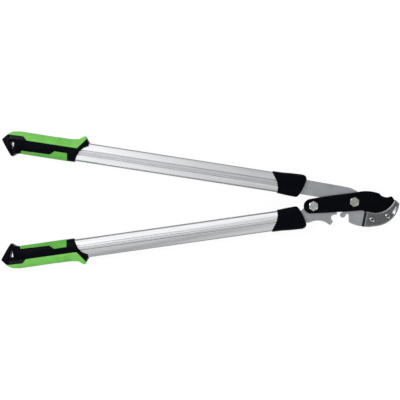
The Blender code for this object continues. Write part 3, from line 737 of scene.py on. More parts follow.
def eased(xs, ys, x):
    """A smooth curve through the points, read at x."""
    i = min(max(bisect(xs, x) - 1, 0), len(xs) - 2)
    width = xs[i + 1] - xs[i]
    t = (x - xs[i]) / width
    slope = slopes(xs, ys)
    start = ys[i] * (1 + 2 * t) * (1 - t) ** 2 + width * slope[i] * t * (1 - t) ** 2
    return start + ys[i + 1] * t * t * (3 - 2 * t) + width * slope[i + 1] * t * t * (t - 1)


def box_ring(u, low, high, half_height, sides=80):
    """A rounded box section across a handle, as points (u, v, z)."""
    power = 2 / BOX_ROUNDNESS
    ring = []
    for i in range(sides):
        c, s = cos(2 * pi * i / sides), sin(2 * pi * i / sides)
        v = (low + high) / 2 + (high - low) / 2 * (1 if c >= 0 else -1) * abs(c) ** power
        ring.append((u, v, half_height * (1 if s >= 0 else -1) * abs(s) ** power))
    return ring


def loft(name, stations, inset=0.0, step=3.0):
    """A body through stations (u, low v, high v, half height), thinner all round by the inset."""
    us, lows, highs, heights = zip(*stations)
    count = ceil((us[-1] - us[0]) / step)
    rings = []
    for i in range(count + 1):
        u = us[0] + (us[-1] - us[0]) * i / count
        low, high, height = (eased(us, column, u) for column in (lows, highs, heights))
        rings.append(box_ring(u, low + inset, high - inset, height - inset))
    return new_object(name, skin(rings))


# %% [markdown]
# A plan is a list of corners, and a corner may carry a radius. Such a corner is replaced by a
# short curve that touches both sides. A plan can also be grown or shrunk by a distance, which
# gives the seams between two mouldings.

# %% Plans with round corners
CORNER_REACH = 0.48  # a corner's curve takes up at most this share of the shorter side
CORNER_STRETCH = 0.4  # a sharp corner moves at most 1 / 0.4 times the distance


def rounded(points, steps=8):
    """An outline whose points may carry a third number, the radius that rounds them."""
    outline = []
    for i, corner in enumerate(points):
        if len(corner) == 2:
            outline.append(tuple(corner))
            continue
        point = Vector(corner[:2])
        sides = [Vector(points[(i + k) % len(points)][:2]) - point for k in (-1, 1)]
        reach = min(side.length for side in sides) * CORNER_REACH
        first, second = (side.normalized() for side in sides)
        cut_back = min(corner[2] / tan(first.angle(second) / 2), reach)
        start, end = point + first * cut_back, point + second * cut_back
        for k in range(steps + 1):
            t = k / steps
            outline.append(tuple(start * (1 - t) ** 2 + point * 2 * t * (1 - t) + end * t**2))
    return outline


def grown(outline, distance):
    """The outline moved outwards by a distance, or inwards if it is negative."""
    area = sum(a[0] * b[1] - b[0] * a[1] for a, b in zip(outline, outline[1:] + outline[:1]))
    outline = list(outline) if area > 0 else list(reversed(outline))
    moved = []
    for i, point in enumerate(outline):
        before = Vector(point) - Vector(outline[i - 1])
        after = Vector(outline[(i + 1) % len(outline)]) - Vector(point)
        normals = [Vector((d.y, -d.x)).normalized() for d in (before, after)]
        between = (normals[0] + normals[1]).normalized()
        shift = between * distance / max(between.dot(normals[0]), CORNER_STRETCH)
        moved.append(tuple(Vector(point) + shift))
    return moved


# %% [markdown]
# The even faces come from a Remesh modifier in its Voxel mode, and the round edges from a Smooth
# modifier after it. Where a part has a second finish, a test on a face's place or direction
# finds the faces again. The space for a tube is an oval body, a little larger than the tube.

# %% Remeshing, painting and the space for a tube
CLEARANCE = 0.3  # between a moulding and the tube or plate inside it


def paint_faces(mesh, index, wanted):
    """Gives a material index to the faces that a test accepts."""
    count = 0
    for face in mesh.polygons:
        if wanted(face):
            face.material_index = index
            count += 1
    return count


def moulded(rough, face_size, passes):
    """The rough form with even faces and rounded edges, as a plain mesh."""
    remesh = rough.modifiers.new("even faces", "REMESH")
    remesh.mode = "VOXEL"
    remesh.voxel_size = face_size
    smooth = rough.modifiers.new("round edges", "SMOOTH")
    smooth.factor = 0.5
    smooth.iterations = passes
    return plain_mesh(rough)


def tube_socket(start, end, sides=64):
    """The space that a tube takes up inside a moulding."""
    width, height = (own_extent("upper_tube", "upper", axis)[1] + CLEARANCE for axis in (1, 2))
    outline = [oval(2 * pi * i / sides, width, height) for i in range(sides)]
    return new_object("socket", skin([[(u, *point) for point in outline] for u in (start, end)]))


# %% [markdown]
# The grip is two mouldings in one: a hard black core, and soft green pads let into its outer and
# inner sides. All three share one outer form, so they are cut from the same loft and the same
# plan. The core gets a pocket for each pad. The loft is boxy, wide at the pommel and flared at
# the slanted guard, which keeps the hand from sliding on to the tube.

# %% Shape of the grip
GRIP_STATIONS = (
    (-676.0, -13.0, 9.0, 9.5),
    (-668.0, -21.0, 15.0, 13.0),
    (-657.0, -28.5, 18.5, 15.6),
    (-648.0, -30.0, 20.2, 16.0),
    (-638.0, -24.0, 20.9, 15.6),
    (-626.0, -21.3, 20.9, 15.0),
    (-560.0, -21.3, 20.7, 15.0),
    (-542.0, -21.6, 21.4, 15.4),
    (-530.0, -22.0, 25.0, 16.0),
    (-519.0, -22.0, 32.0, 16.0),
    (-506.0, -22.0, 32.0, 15.0),
)
GRIP_PLAN = (
    (-673.6, 0.3, 2.0),
    (-664.2, 11.4, 3.0),
    (-655.0, 18.4, 10.0),
    (-640.0, 21.0, 20.0),
    (-549.0, 20.6, 30.0),
    (-529.0, 23.2, 8.0),
    (-518.8, 31.2, 2.5),
    (-509.2, 19.0, 2.0),
    (-519.9, 7.5, 30.0),
    (-527.0, -3.8, 30.0),
    (-531.6, -21.2, 4.0),
    (-637.0, -21.0, 10.0),
    (-643.5, -22.8, 6.0),
    (-650.6, -29.4, 2.5),
)
OUTER_PAD = (
    (-700.0, 9.8),
    (-664.0, 11.2, 4.0),
    (-633.3, 12.0, 2.5),
    (-626.0, 5.0, 2.5),
    (-530.0, 5.2, 3.0),
    (-514.6, 26.0),
    (-508.0, 40.0),
    (-700.0, 40.0),
)
INNER_PAD = (
    (-634.6, -35.0),
    (-634.4, -21.5),
    (-633.6, -15.3, 2.0),
    (-579.2, -14.1, 2.0),
    (-570.8, -6.6, 2.0),
    (-547.0, -6.7, 2.0),
    (-545.8, -20.0),
    (-545.6, -35.0),
)
PAD_DEPTH = 1.3
CORE_INSET = 0.4  # the pads stand this much proud of the core
SEAM = 0.25
CORE_FACE = 0.75  # sides of the faces after remeshing
PAD_FACE = 0.55
REACH = 30.0  # taller than any grip
grip_outline = rounded(GRIP_PLAN)
print(f"the grip is {GRIP_PLAN[7][0] - GRIP_PLAN[0][0]:.0f} mm long")


def plan_prism(outline, bottom=-REACH, top=REACH):
    return prism("plan", outline, bottom, top)


# %% [markdown]
# The pommel carries three more forms. The hang hole goes right through it, a shallow dish lies
# round the hole on both faces, and a wedge cuts a facet that slopes down to the outer pad. The
# facet is glossy, and its faces are found again after the remesh by their place.

# %% Forms of the pommel
HANG_HOLE = ((-656.5, -2.2, 1.2), (-649.0, -0.8, 1.5), (-649.0, -15.0, 0.8), (-651.0, -15.0, 0.8))
DISH = ((-659.5, 2.4, 2.0), (-645.2, 3.0, 2.0), (-644.2, -18.0, 2.0), (-649.6, -23.0, 1.5))
DISH_FLOOR = 12.8  # its height above and below the middle plane
FACET_EDGE = (4.4, 12.4)  # the facet slopes from this v down to that one
FACET_SPAN = (-658.0, -629.0)
FACET_TOP = 15.4
FACET_DROP = 2.8
FACET_LOWEST = 9.0  # the grip's side walls begin below this height
FACET_TURN = 0.6  # and their normals point along v by more than this


def pommel_facet(sign):
    """A wedge above or below the grip, which leaves a facet sloping down to the pad."""
    near, far = FACET_EDGE
    low = FACET_TOP - FACET_DROP
    wedge = []
    for u in FACET_SPAN:
        heights = ((near, FACET_TOP), (far, low), (far, REACH), (near, REACH))
        wedge.append([(u, v, sign * z) for v, z in heights])
    return new_object("facet", skin(wedge))


def on_facet(face):
    """Whether a face of the core belongs to the glossy facet, above or below."""
    u, v, z = face.center
    start = FACET_EDGE[0] + CORE_FACE / 2  # half a face further in, so its border is straight
    inside = FACET_SPAN[0] < u < FACET_SPAN[1] and start < v < FACET_EDGE[1]
    return inside and abs(z) > FACET_LOWEST and abs(face.normal.y) < FACET_TURN


# %% [markdown]
# The core starts as the whole grip, a little smaller all round, with the zones of both pads cut
# away. A thinner copy of the grip is then added, which leaves a shallow pocket for each pad. The
# space for the tube, the hole and its dishes come last. Each pad is the part of the grip's skin
# over its own zone.

# %% The grip's core and its pads
SOCKET_MOUTH = -480.0  # u, past the guard


def grip_form(label, inset, zones=()):
    """The grip's form, thinner all round by an inset, without some zones and the facets."""
    form = loft(label, GRIP_STATIONS, inset)
    cut(form, plan_prism(grown(grip_outline, -inset)), "INTERSECT")
    for zone in zones:
        cut(form, plan_prism(grown(rounded(zone), SEAM)))
    for sign in (1, -1):
        cut(form, pommel_facet(sign))
    return form


def grip_core():
    shell = grip_form("grip", CORE_INSET, (OUTER_PAD, INNER_PAD))
    cut(shell, grip_form("inside", PAD_DEPTH), "UNION")
    tube_end = own_extent("upper_tube", "upper", 0)[0]
    cut(shell, tube_socket(tube_end - CLEARANCE, SOCKET_MOUTH))
    cut(shell, plan_prism(rounded(HANG_HOLE)))
    for bottom, top in ((DISH_FLOOR, REACH), (-REACH, -DISH_FLOOR)):
        cut(shell, plan_prism(rounded(DISH), bottom, top))
    mesh = moulded(shell, CORE_FACE, 4)
    clear_helpers()
    coat(mesh, black_plastic, glossy_plastic)
    print("  glossy facets:", paint_faces(mesh, 1, on_facet), "faces")
    return mesh


def grip_pad(zone):
    pad = loft("pad", GRIP_STATIONS)
    cut(pad, plan_prism(grip_outline), "INTERSECT")
    cut(pad, plan_prism(rounded(zone)), "INTERSECT")
    backing = loft("backing", GRIP_STATIONS, PAD_DEPTH)
    cut(backing, plan_prism(grown(grip_outline, -PAD_DEPTH)), "INTERSECT")
    cut(pad, backing)
    mesh = moulded(pad, PAD_FACE, 3)
    clear_helpers()
    return mesh


# %% [markdown]
# Both grips are made from the same three meshes. The lower one is placed with its own matrix,
# which mirrors them about the middle line.

# %% Both grips in place
core = grip_core()
outer_pad = grip_pad(OUTER_PAD)
inner_pad = grip_pad(INNER_PAD)
for name, axes in HANDLES.items():
    for label, mesh, slot, material, node in (
        ("grip_moulding", core, "black_moulding", [], "grip_core"),
        ("outer_soft_pad", outer_pad, "green_soft_grip", [green_rubber], "grip_outer_pad"),
        ("inner_soft_pad", inner_pad, "green_soft_grip", [inner_rubber], "grip_inner_pad"),
    ):
        replaced = [f"{name}_{node}"]
        full_name = f"{name}_{label}"
        add_piece(full_name, placed(mesh, axes), BODY[name], material, replaced, 60)

# %% [markdown]
# Seven ribs cross the outer pad where the fingers close on it. Geometry Nodes make them: one
# line across the pad is copied along the grip, each copy is drawn on to the pad's surface with
# Geometry Proximity, and a small round section is swept along it. The ribs therefore follow the
# pad's real surface, whatever its form.

# %% Ribs on the outer pads
RIB_COUNT = 7
RIB_FIRST = -568.5
RIB_SPACING = 3.9
RIB_RADIUS = 0.75
RIB_START = 8.6  # v where a rib starts on the top face, before it goes round the outer side
RIB_STEPS = 40
GRIP_SECTION = (-21.3, 21.4, 15.6)  # low v, high v and half height where the ribs are
RING_SIDES = 400


def rib_line():
    """An open line across the outer side of the grip, from the top face round to the bottom."""
    ring = box_ring(RIB_FIRST, *GRIP_SECTION, RING_SIDES)
    ring = ring[RING_SIDES // 2 :] + ring[: RING_SIDES // 2]
    crossing = [point for point in ring if point[1] > RIB_START]
    step = (len(crossing) - 1) / RIB_STEPS
    builder = bmesh.new()
    points = [builder.verts.new(crossing[round(i * step)]) for i in range(RIB_STEPS + 1)]
    for first, second in zip(points, points[1:]):
        builder.edges.new((first, second))
    return new_object("rib_line", builder)


# %% [markdown]
# The tree's inputs are the pad's object, the number of ribs, their spacing and radius, and the
# material. Set Position moves each point of the copied lines to the place on the pad that is
# nearest to it, and Curve to Mesh then gives the lines their thickness.

# %% Tree for the ribs


def rib_tree():
    inputs = {"Pad": "Object", "Count": "Int", "Spacing": "Float", "Radius": "Float"}
    tree, given, result = new_tree("grip_ribs", inputs | {"Material": "Material"})
    offset = add(tree, "ShaderNodeCombineXYZ", {"X": given.outputs["Spacing"]}).outputs[0]
    row = add(tree, "GeometryNodeMeshLine", {"Count": given.outputs["Count"], "Offset": offset})
    curve = add(tree, "GeometryNodeMeshToCurve", {"Mesh": given.outputs["Geometry"]}).outputs[0]
    copies = {"Points": row.outputs[0], "Instance": curve}
    copied = add(tree, "GeometryNodeInstanceOnPoints", copies).outputs[0]
    lines = add(tree, "GeometryNodeRealizeInstances", {0: copied}).outputs[0]
    pad = add(tree, "GeometryNodeObjectInfo", {"Object": given.outputs["Pad"]})
    pad_surface = {0: pad.outputs["Geometry"]}
    nearest = add(tree, "GeometryNodeProximity", pad_surface, target_element="FACES")
    moved = {"Geometry": lines, "Position": nearest.outputs["Position"]}
    on_pad = add(tree, "GeometryNodeSetPosition", moved).outputs[0]
    circle = {"Resolution": 10, "Radius": given.outputs["Radius"]}
    section = add(tree, "GeometryNodeCurvePrimitiveCircle", circle).outputs[0]
    sweep = {"Curve": on_pad, "Profile Curve": section, "Fill Caps": True}
    close_tree(tree, given, result, add(tree, "GeometryNodeCurveToMesh", sweep).outputs[0])
    return tree


ribs = rib_tree()
values = {
    "Pad": helper("pad_guide", outer_pad),
    "Count": RIB_COUNT,
    "Spacing": RIB_SPACING,
    "Radius": RIB_RADIUS,
    "Material": green_rubber,
}
rib_mesh = run_tree(ribs, rib_line(), values)
clear_helpers()
for name, axes in HANDLES.items():
    mesh = placed(rib_mesh, axes)
    add_piece(f"{name}_grip_ribs", mesh, BODY[name], [green_rubber])

# %% [markdown]
# At the head end, each tube enters a black sleeve, and the steel plate comes out of the sleeve's
# slanted front. The sleeve is made like the grip: a loft cut to its plan, hollowed for the tube
# and slotted for the plate's tang, then remeshed.

# %% Sleeves at the head
SLEEVE_STATIONS = (
    (-166.0, -19.9, 19.9, 12.9),
    (-146.0, -20.2, 20.2, 13.1),
    (-116.0, -22.4, 22.2, 14.0),
    (-102.0, -22.9, 22.8, 14.0),
    (-90.0, -22.0, 22.0, 11.0),
)
SLEEVE_PLAN = (
    (-160.8, 20.4),
    (-103.5, 22.1, 2.0),
    (-98.5, 20.6, 3.0),
    (-95.4, 16.8, 2.0),
    (-95.0, 13.5, 3.0),
    (-97.2, 3.0, 20.0),
    (-100.3, -7.0, 20.0),
    (-104.6, -17.0, 8.0),
    (-107.2, -20.9, 1.5),
    (-110.5, -22.0, 1.5),
    (-145.6, -20.6),
    (-146.3, -9.5, 20.0),
    (-149.8, 1.0, 20.0),
    (-155.5, 10.5, 20.0),
)
PLATE_HALF_THICKNESS = 3.0
TANG_SPAN = {"upper": (-15.0, 13.6), "lower": (-11.6, 11.8)}
SLOT_ENDS = (-125.0, -60.0)  # u of the slot for the tang
SOCKET_START = -190.0  # u, past the sleeve's open end
SLEEVE_FACE = 0.7


def sleeve(name):
    body = loft("sleeve", SLEEVE_STATIONS, 0.0, 2.0)
    cut(body, plan_prism(rounded(SLEEVE_PLAN)), "INTERSECT")
    tube_end = own_extent(f"{name}_tube", name, 0)[1]
    cut(body, tube_socket(SOCKET_START, tube_end + CLEARANCE))
    (inner, outer), (start, end) = TANG_SPAN[name], SLOT_ENDS
    low, high = inner - CLEARANCE, outer + CLEARANCE
    slot = [(start, low), (end, low), (end, high), (start, high)]
    reach = PLATE_HALF_THICKNESS + CLEARANCE
    cut(body, prism("slot", slot, -reach, reach))
    mesh = moulded(body, SLEEVE_FACE, 4)
    clear_helpers()
    return mesh


for name, axes in HANDLES.items():
    mesh = placed(sleeve(name), axes)
    replaced = [f"{name}_ferrule"]
    add_piece(
        f"{name}_head_sleeve", mesh, BODY[name], [black_plastic], replaced, 60
    )

# %% [markdown]
# The plates and the blade are already right in plan, because they were drawn from arcs. What
# they lack is a rounded edge, and without one an edge never catches the light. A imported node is
# a heap of loose triangles, so a copy is welded and its flat faces are joined again. The arcs of
# its outline are made of short straight walls. Bevelling the shallow corners between them by
# nearly half a wall turns each arc into a smooth curve, and a Bevel modifier rounds the rest.

# %% Tools for plates with rounded edges
WALL_TILT = 0.05  # a wall's normal points up or down by less than this
SHALLOW = (radians(1.5), radians(31))
SHARP = radians(38)  # edges sharper than this are rounded by the Bevel modifier
COPLANAR = radians(0.5)
WELD = 0.003  # millimetres between points that are one and the same
CORNER_SHARE = 44.0  # how much of each wall a corner's bevel takes up, in percent


def arc_corners(builder):
    """The edges where two walls of an arc meet at a shallow angle."""
    found = []
    for edge in builder.edges:
        if len(edge.link_faces) == 2:
            walls = all(abs(face.normal.z) < WALL_TILT for face in edge.link_faces)
            if walls and SHALLOW[0] < edge.calc_face_angle() < SHALLOW[1]:
                found.append(edge)
    return found


def rounded_copy(node, name, width, segments=2, edge_material=-1):
    """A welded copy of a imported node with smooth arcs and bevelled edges, in millimetres."""
    builder = bmesh.new()
    builder.from_mesh(nodes[node].data)
    bmesh.ops.scale(builder, vec=(1 / MM, 1 / MM, 1 / MM), verts=builder.verts)
    bmesh.ops.remove_doubles(builder, verts=builder.verts, dist=WELD)
    for face in builder.faces:
        face.material_index = 0
    parts = {"verts": builder.verts, "edges": builder.edges}
    bmesh.ops.dissolve_limit(builder, angle_limit=COPLANAR, **parts)
    builder.normal_update()
    corners = arc_corners(builder)
    settings = {"offset": CORNER_SHARE, "offset_type": "PERCENT", "segments": 4, "profile": 0.5}
    bmesh.ops.bevel(builder, geom=corners, affect="EDGES", clamp_overlap=True, **settings)
    builder.normal_update()
    print(f"{node}: {len(corners)} corners of arcs smoothed")
    obj = new_object(name, builder)
    bevel = obj.modifiers.new("rounded edges", "BEVEL")
    bevel.width = width
    bevel.segments = segments
    bevel.limit_method = "ANGLE"
    bevel.angle_limit = SHARP
    bevel.material = edge_material
    return obj


# %% [markdown]
# The hook plate carries the upper handle, the fixed gear teeth and the jaw. The gear plate
# carries the lower handle, and its teeth roll on those of the hook plate as the blade opens.
# Both get satin faces and edges painted darker as shade: the bevel's faces take the second
# material. The floor of the groove is painted nearly black, as the shade in it.

# %% The two steel plates
PLATE_BEVEL = 0.8
REBATE_HEIGHT = (15.0, 18.0)  # the floor that the counter blade lies on, seen in the groove and painted dark as shade


def in_rebate(face):
    return face.normal.z > 0.9 and REBATE_HEIGHT[0] < face.center.z < REBATE_HEIGHT[1]


for node, body in (("hook_plate", "root"), ("gear_plate", "lower_handle")):
    obj = rounded_copy(node, f"{node}_satin", PLATE_BEVEL, 3, 1)
    coat(obj.data, plate_steel, plate_edge_shade, dark_steel)
    # the groove's floor is painted nearly black, as shade
    paint_faces(obj.data, 2, in_rebate)
    add_head_piece(obj, body, [], [node])

# %% [markdown]
# The blade is one black plate with its arm. The slanted strip along its cutting edge is bare
# ground steel, so its faces are found by their tilt and given the ground material. A thin,
# slightly greyer edge runs round the rest of the coating.

# %% The blade
STRIP_TILT = (0.3, 0.75)  # the upward part of a ground face's normal
obj = rounded_copy("blade", "coated_blade", 0.3, 2, 1)
coat(obj.data, coating, coating_edge, ground_edge)
strip_faces = paint_faces(obj.data, 2, lambda face: STRIP_TILT[0] < face.normal.z < STRIP_TILT[1])
add_head_piece(obj, "blade_arm", [], ["blade"])
print("  ground strip:", strip_faces, "faces")

# %% [markdown]
# The counter blade is let into the hook plate beyond a groove. It has a bright rim and a darker
# recessed field. Near its tip a shallow scoop is ground out along the outer edge, whose far wall
# catches the light. The scoop is cut with a long thin lens that is bent along the same arc.

# %% The scoop of the counter blade
SCOOP_CENTRE = (38.3, 2.7)
SCOOP_PATH = 43.2  # from that centre to the middle of the scoop
SCOOP_ANGLES = (-14.0, -35.0)
SCOOP_WIDTHS = (0.9, 2.7)  # half width at the upper and at the lower end
SCOOP_CURVE = 5.0  # radius of its hollow
SCOOP_MARGIN = 1.15  # the cutter is this much wider than the hollow that it leaves
SCOOP_ENDS = 6  # the higher, the blunter its two ends
SCOOP_STEPS = 36
SCOOP_TOP = 25.0
FIELD_HEIGHT = 18.4


def scoop_section(half):
    """The lens across the scoop, as places (distance outwards, height)."""
    lift = (SCOOP_CURVE**2 - half**2) ** 0.5
    edge = half * SCOOP_MARGIN
    section = []
    for k in range(-6, 7):
        out = edge * k / 6
        section.append((out, FIELD_HEIGHT + lift - (SCOOP_CURVE**2 - out**2) ** 0.5))
    return section + [(edge, SCOOP_TOP), (-edge, SCOOP_TOP)]


def scoop():
    """A long lens, narrow at its upper end, that stands over the field and dips into it."""
    rings = []
    for i in range(SCOOP_STEPS + 1):
        t = i / SCOOP_STEPS
        angle = radians(SCOOP_ANGLES[0] + (SCOOP_ANGLES[1] - SCOOP_ANGLES[0]) * t)
        half = SCOOP_WIDTHS[0] + (SCOOP_WIDTHS[1] - SCOOP_WIDTHS[0]) * t
        half *= max(1 - abs(2 * t - 1) ** SCOOP_ENDS, 0.001) ** 0.5
        ring = []
        for out, z in scoop_section(half):
            far = SCOOP_PATH + out
            ring.append((SCOOP_CENTRE[0] + far * cos(angle), SCOOP_CENTRE[1] + far * sin(angle), z))
        rings.append(ring)
    return new_object("scoop", skin(rings))


# %% [markdown]
# The cutters carry their own materials, and a Boolean that transfers them paints the cut: the
# scoop is polished, and the seats of the two screws are painted dark, as the shade in them.

# %% The counter blade
COUNTER_SCREWS = ((35.3, -32.8), (64.6, -26.0))
COUNTERSINK = ((6.3, 20.0), (6.3, 18.4), (5.0, 17.6))  # radius and height, from the top down


def disc_ring(centre, radius, z, sides=64):
    turns = [2 * pi * i / sides for i in range(sides)]
    return [(centre[0] + radius * cos(a), centre[1] + radius * sin(a), z) for a in turns]


obj = rounded_copy("counter_blade", "counter_blade_ground", 0.25)
coat(obj.data, counter_rim, counter_field, polished, seat_shade_steel)
paint_faces(obj.data, 1, lambda f: f.normal.z > 0.9 and f.center.z < FIELD_HEIGHT + 0.1)
cutters = [(scoop(), polished)]
for place in COUNTER_SCREWS:
    rings = [disc_ring(place, radius, z) for radius, z in reversed(COUNTERSINK)]
    cutters.append((new_object("countersink", skin(rings)), seat_shade_steel))
for cutter, material in cutters:
    coat(cutter.data, material)
    cut(obj, cutter)
add_head_piece(obj, "root", [], ["counter_blade"])

# %% [markdown]
# Bolt heads, nuts and washers are turned or hexagonal, so one function makes rings whose radius
# can depend on the angle. A hexagon's chamfer is a cone: where the hexagon is wider, the cone
# cuts lower, and that gives the curved edges which every real bolt head shows.

# %% Tools for turned and hexagonal parts
HEX_FLATS = 16.0
HEX_CORNER = 9.05  # the radius of its rounded corners
HEX_SIDES = 96
BOLT_RADIUS = 5.0
THREAD_PITCH = 1.5
THREAD_DEPTH = 0.75
CHAMFER_SLOPE = tan(radians(30))


def hex_radius(angle, turn):
    """The hexagon's radius at an angle, with its corners a little rounded."""
    sector = (angle - turn + pi / 6) % (pi / 3) - pi / 6
    flat = sector - pi / 6 if sector > 0 else sector + pi / 6
    return min(HEX_FLATS / 2 / cos(flat), HEX_CORNER)


def around(centre, radius_at, z_at, sides=HEX_SIDES):
    """A ring of points, whose radius and height may depend on the angle."""
    ring = []
    for i in range(sides):
        angle = 2 * pi * i / sides
        radius = radius_at(angle) if callable(radius_at) else radius_at
        z = z_at(angle) if callable(z_at) else z_at
        ring.append((centre[0] + radius * cos(angle), centre[1] + radius * sin(angle), z))
    return ring


def hex_rings(centre, turn, flat_end, chamfered_end, round_radius):
    """Two rings of a hexagon's walls, and the round edge of its chamfered face."""
    sign = 1 if chamfered_end > flat_end else -1

    def wall_end(angle):
        return chamfered_end - sign * (hex_radius(angle, turn) - round_radius) * CHAMFER_SLOPE

    def wall(angle):
        return hex_radius(angle, turn)

    return [
        around(centre, wall, flat_end),
        around(centre, wall, wall_end),
        around(centre, round_radius, chamfered_end),
    ]


def thread_rings(centre, bottom, top):
    """A screw thread: the radius falls and rises along a helix."""
    rings = []
    steps = ceil((top - bottom) / THREAD_PITCH * 8)
    for k in range(steps + 1):
        z = bottom + (top - bottom) * k / steps

        def radius_at(angle, z=z):
            turn = (z / THREAD_PITCH - angle / (2 * pi)) % 1.0
            fade = min(1.0, (z - bottom) / THREAD_PITCH, (top - z) / THREAD_PITCH)
            return BOLT_RADIUS - THREAD_DEPTH * fade * abs(2 * turn - 1)

        rings.append(around(centre, radius_at, z))
    return rings


# %% [markdown]
# Each bolt goes down through the blade and a plate to a washer and a lock nut. The bolt has a
# chamfered hexagon with a shallow dish, a plain shank and a threaded end. The lock nut ends in a
# round collar with a nylon ring. The frame gives every height, so nothing has to be guessed.

# %% The bolts
HEAD_TURN = {"pivot": radians(82), "link": radians(90)}
HEAD_FINISH = {"pivot": zinc, "link": white_zinc}  # the link bolt gets a lighter copy of the zinc, painted light
BOLT_BODY = {"pivot": "root", "link": "blade_arm"}
HEAD_HEIGHT = 6.4
HEAD_FACE = 7.6
HEAD_DISH = ((5.3, 0.0), (4.8, 0.3), (1.8, 0.36))  # radius and depth, from its rim inwards
POINT_RADIUS = 3.9  # of the bolt's end face
THREAD_SPAN = (0.9, 13.5)
SHANK_START = 14.0


def bolt(centre, turn, top):
    """One body from the end face up through thread and shank to the dish in the head."""
    under = top - HEAD_HEIGHT
    rings = [around(centre, POINT_RADIUS, 0.0)]
    rings += thread_rings(centre, *THREAD_SPAN)
    rings += [around(centre, BOLT_RADIUS, z) for z in (SHANK_START, under)]
    rings.append(around(centre, HEAD_FACE, under))
    rings += hex_rings(centre, turn, under, top, HEAD_FACE)
    rings += [around(centre, radius, top - depth) for radius, depth in HEAD_DISH]
    return skin(rings)


for name, turn in HEAD_TURN.items():
    node = f"{name}_bolt"
    centre, top = middle(node) / MM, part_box(node)[1].z / MM
    obj = new_object(f"{name}_hexagon_bolt", bolt(centre, turn, top))
    add_head_piece(obj, BOLT_BODY[name], [HEAD_FINISH[name]], [node])

# %% [markdown]
# A washer, a bush and a nut are rings with a hole, so their skin is joined end to end: up the
# outside, over the top, down the inside and back. The chamfers are only a few tenths of a
# millimetre, but they make the bright lines that separate such parts.

# %% Washers, bushes and lock nuts
CHAMFER = 0.35
RING_HOLE = BOLT_RADIUS + 0.3
NUT_HEX_HEIGHT = 6.2
COLLAR_RADIUS = 7.2
NYLON_WALL = 1.0


def plain_ring(centre, radius, bottom, top):
    profile = (
        (radius - CHAMFER, bottom),
        (radius, bottom + CHAMFER),
        (radius, top - CHAMFER),
        (radius - CHAMFER, top),
        (RING_HOLE + CHAMFER, top),
        (RING_HOLE, top - CHAMFER),
        (RING_HOLE, bottom + CHAMFER),
        (RING_HOLE + CHAMFER, bottom),
    )
    return skin([around(centre, *point, 64) for point in profile], True)


def lock_nut(centre, turn, bottom, top):
    shoulder = top - NUT_HEX_HEIGHT
    inside = RING_HOLE + NYLON_WALL
    rings = [around(centre, HEAD_FACE, top)]
    rings += hex_rings(centre, turn, top - 0.3, shoulder, HEAD_FACE)
    profile = (
        (COLLAR_RADIUS, shoulder),
        (COLLAR_RADIUS - 0.2, bottom + 1.0),
        (COLLAR_RADIUS - 0.9, bottom),
        (inside + 0.3, bottom),
        (inside, bottom + 0.4),
        (inside, shoulder - 0.2),
        (RING_HOLE, shoulder - 0.1),
        (RING_HOLE, top),
    )
    return skin(rings + [around(centre, *point) for point in profile], True)


def nylon_ring(centre, bottom, top):
    outside, inside = RING_HOLE + NYLON_WALL - 0.05, BOLT_RADIUS - 0.05
    profile = ((outside, bottom), (outside, top), (inside, top), (inside, bottom))
    return skin([around(centre, *point, 64) for point in profile], True)


def add_ring(name, builder, body, material, replaced=()):
    add_head_piece(new_object(name, builder), body, [material], replaced, 25)


for name, turn in HEAD_TURN.items():
    body = BOLT_BODY[name]
    for kind, slot, material in (("washer", "zinc_plate", zinc), ("bush", "bush_bronze", bronze)):
        node = f"{name}_{kind}"
        low, high = (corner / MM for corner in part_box(node))
        centre = (low + high) / 2
        builder = plain_ring(centre, (high.x - low.x) / 2, low.z, high.z)
        add_ring(f"{node}_turned", builder, body, material, [node])
    low, high = (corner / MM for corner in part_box(f"{name}_nut"))
    centre = (low + high) / 2
    builder = lock_nut(centre, turn, low.z, high.z)
    add_ring(f"{name}_lock_nut", builder, body, zinc, [f"{name}_nut"])
    builder = nylon_ring(centre, low.z + 0.3, high.z - NUT_HEX_HEIGHT - 0.3)
    add_ring(f"{name}_nut_nylon", builder, body, nylon)

# %% [markdown]
# Two countersunk screws with a cross recess hold the counter blade. Their heads are slightly
# domed and polished, so they sparkle. The cross is cut with two tapered bars, and its faces are
# painted nearly black, as the shade in the recess.

# %% Screws of the counter blade
SCREW_HEAD = 4.9
SCREW_SHANK = 2.5
RIM_HEIGHT = 17.6
DOME = 1.2
CROSS_TURN = 20.0
CROSS_TOP = (2.9, 0.85)  # half length and half width of a bar above the dome
CROSS_BOTTOM = (1.4, 0.45)
CROSS_DEPTH = 1.9


def screw_body(name, place, bottom):
    profile = [
        (SCREW_SHANK - 0.4, bottom),
        (SCREW_SHANK, bottom + 0.5),
        (SCREW_SHANK, RIM_HEIGHT - 0.2 - (SCREW_HEAD - SCREW_SHANK)),
        (SCREW_HEAD, RIM_HEIGHT - 0.2),
    ]
    for i in range(9):
        t = i / 9
        profile.append((SCREW_HEAD * (1 - t), RIM_HEIGHT + DOME * (1 - (1 - t) ** 2)))
    return new_object(name, skin([around(place, *point, 64) for point in profile]))


def cross_bar(place, turn, top):
    spin = Matrix.Rotation(radians(turn), 2)
    rings = []
    for z, (length, width) in ((top - CROSS_DEPTH, CROSS_BOTTOM), (top + 1.2, CROSS_TOP)):
        corners = ((-length, -width), (length, -width), (length, width), (-length, width))
        ring = [Vector(place[:2]) + spin @ Vector(corner) for corner in corners]
        rings.append([(p.x, p.y, z) for p in ring])
    return new_object("bar", skin(rings))


for number, place in enumerate(COUNTER_SCREWS, 1):
    node = f"counter_blade_screw_{number}"
    screw = screw_body(f"{node}_domed", place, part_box(node)[0].z / MM)
    coat(screw.data, screw_steel, dark_steel)
    for turn in (CROSS_TURN, CROSS_TURN + 90):
        bar = cross_bar(place, turn, RIM_HEIGHT + DOME)
        # the cross recess is painted nearly black, as shade
        coat(bar.data, dark_steel)
        cut(screw, bar)
    add_head_piece(screw, "root", [], [node], 30)

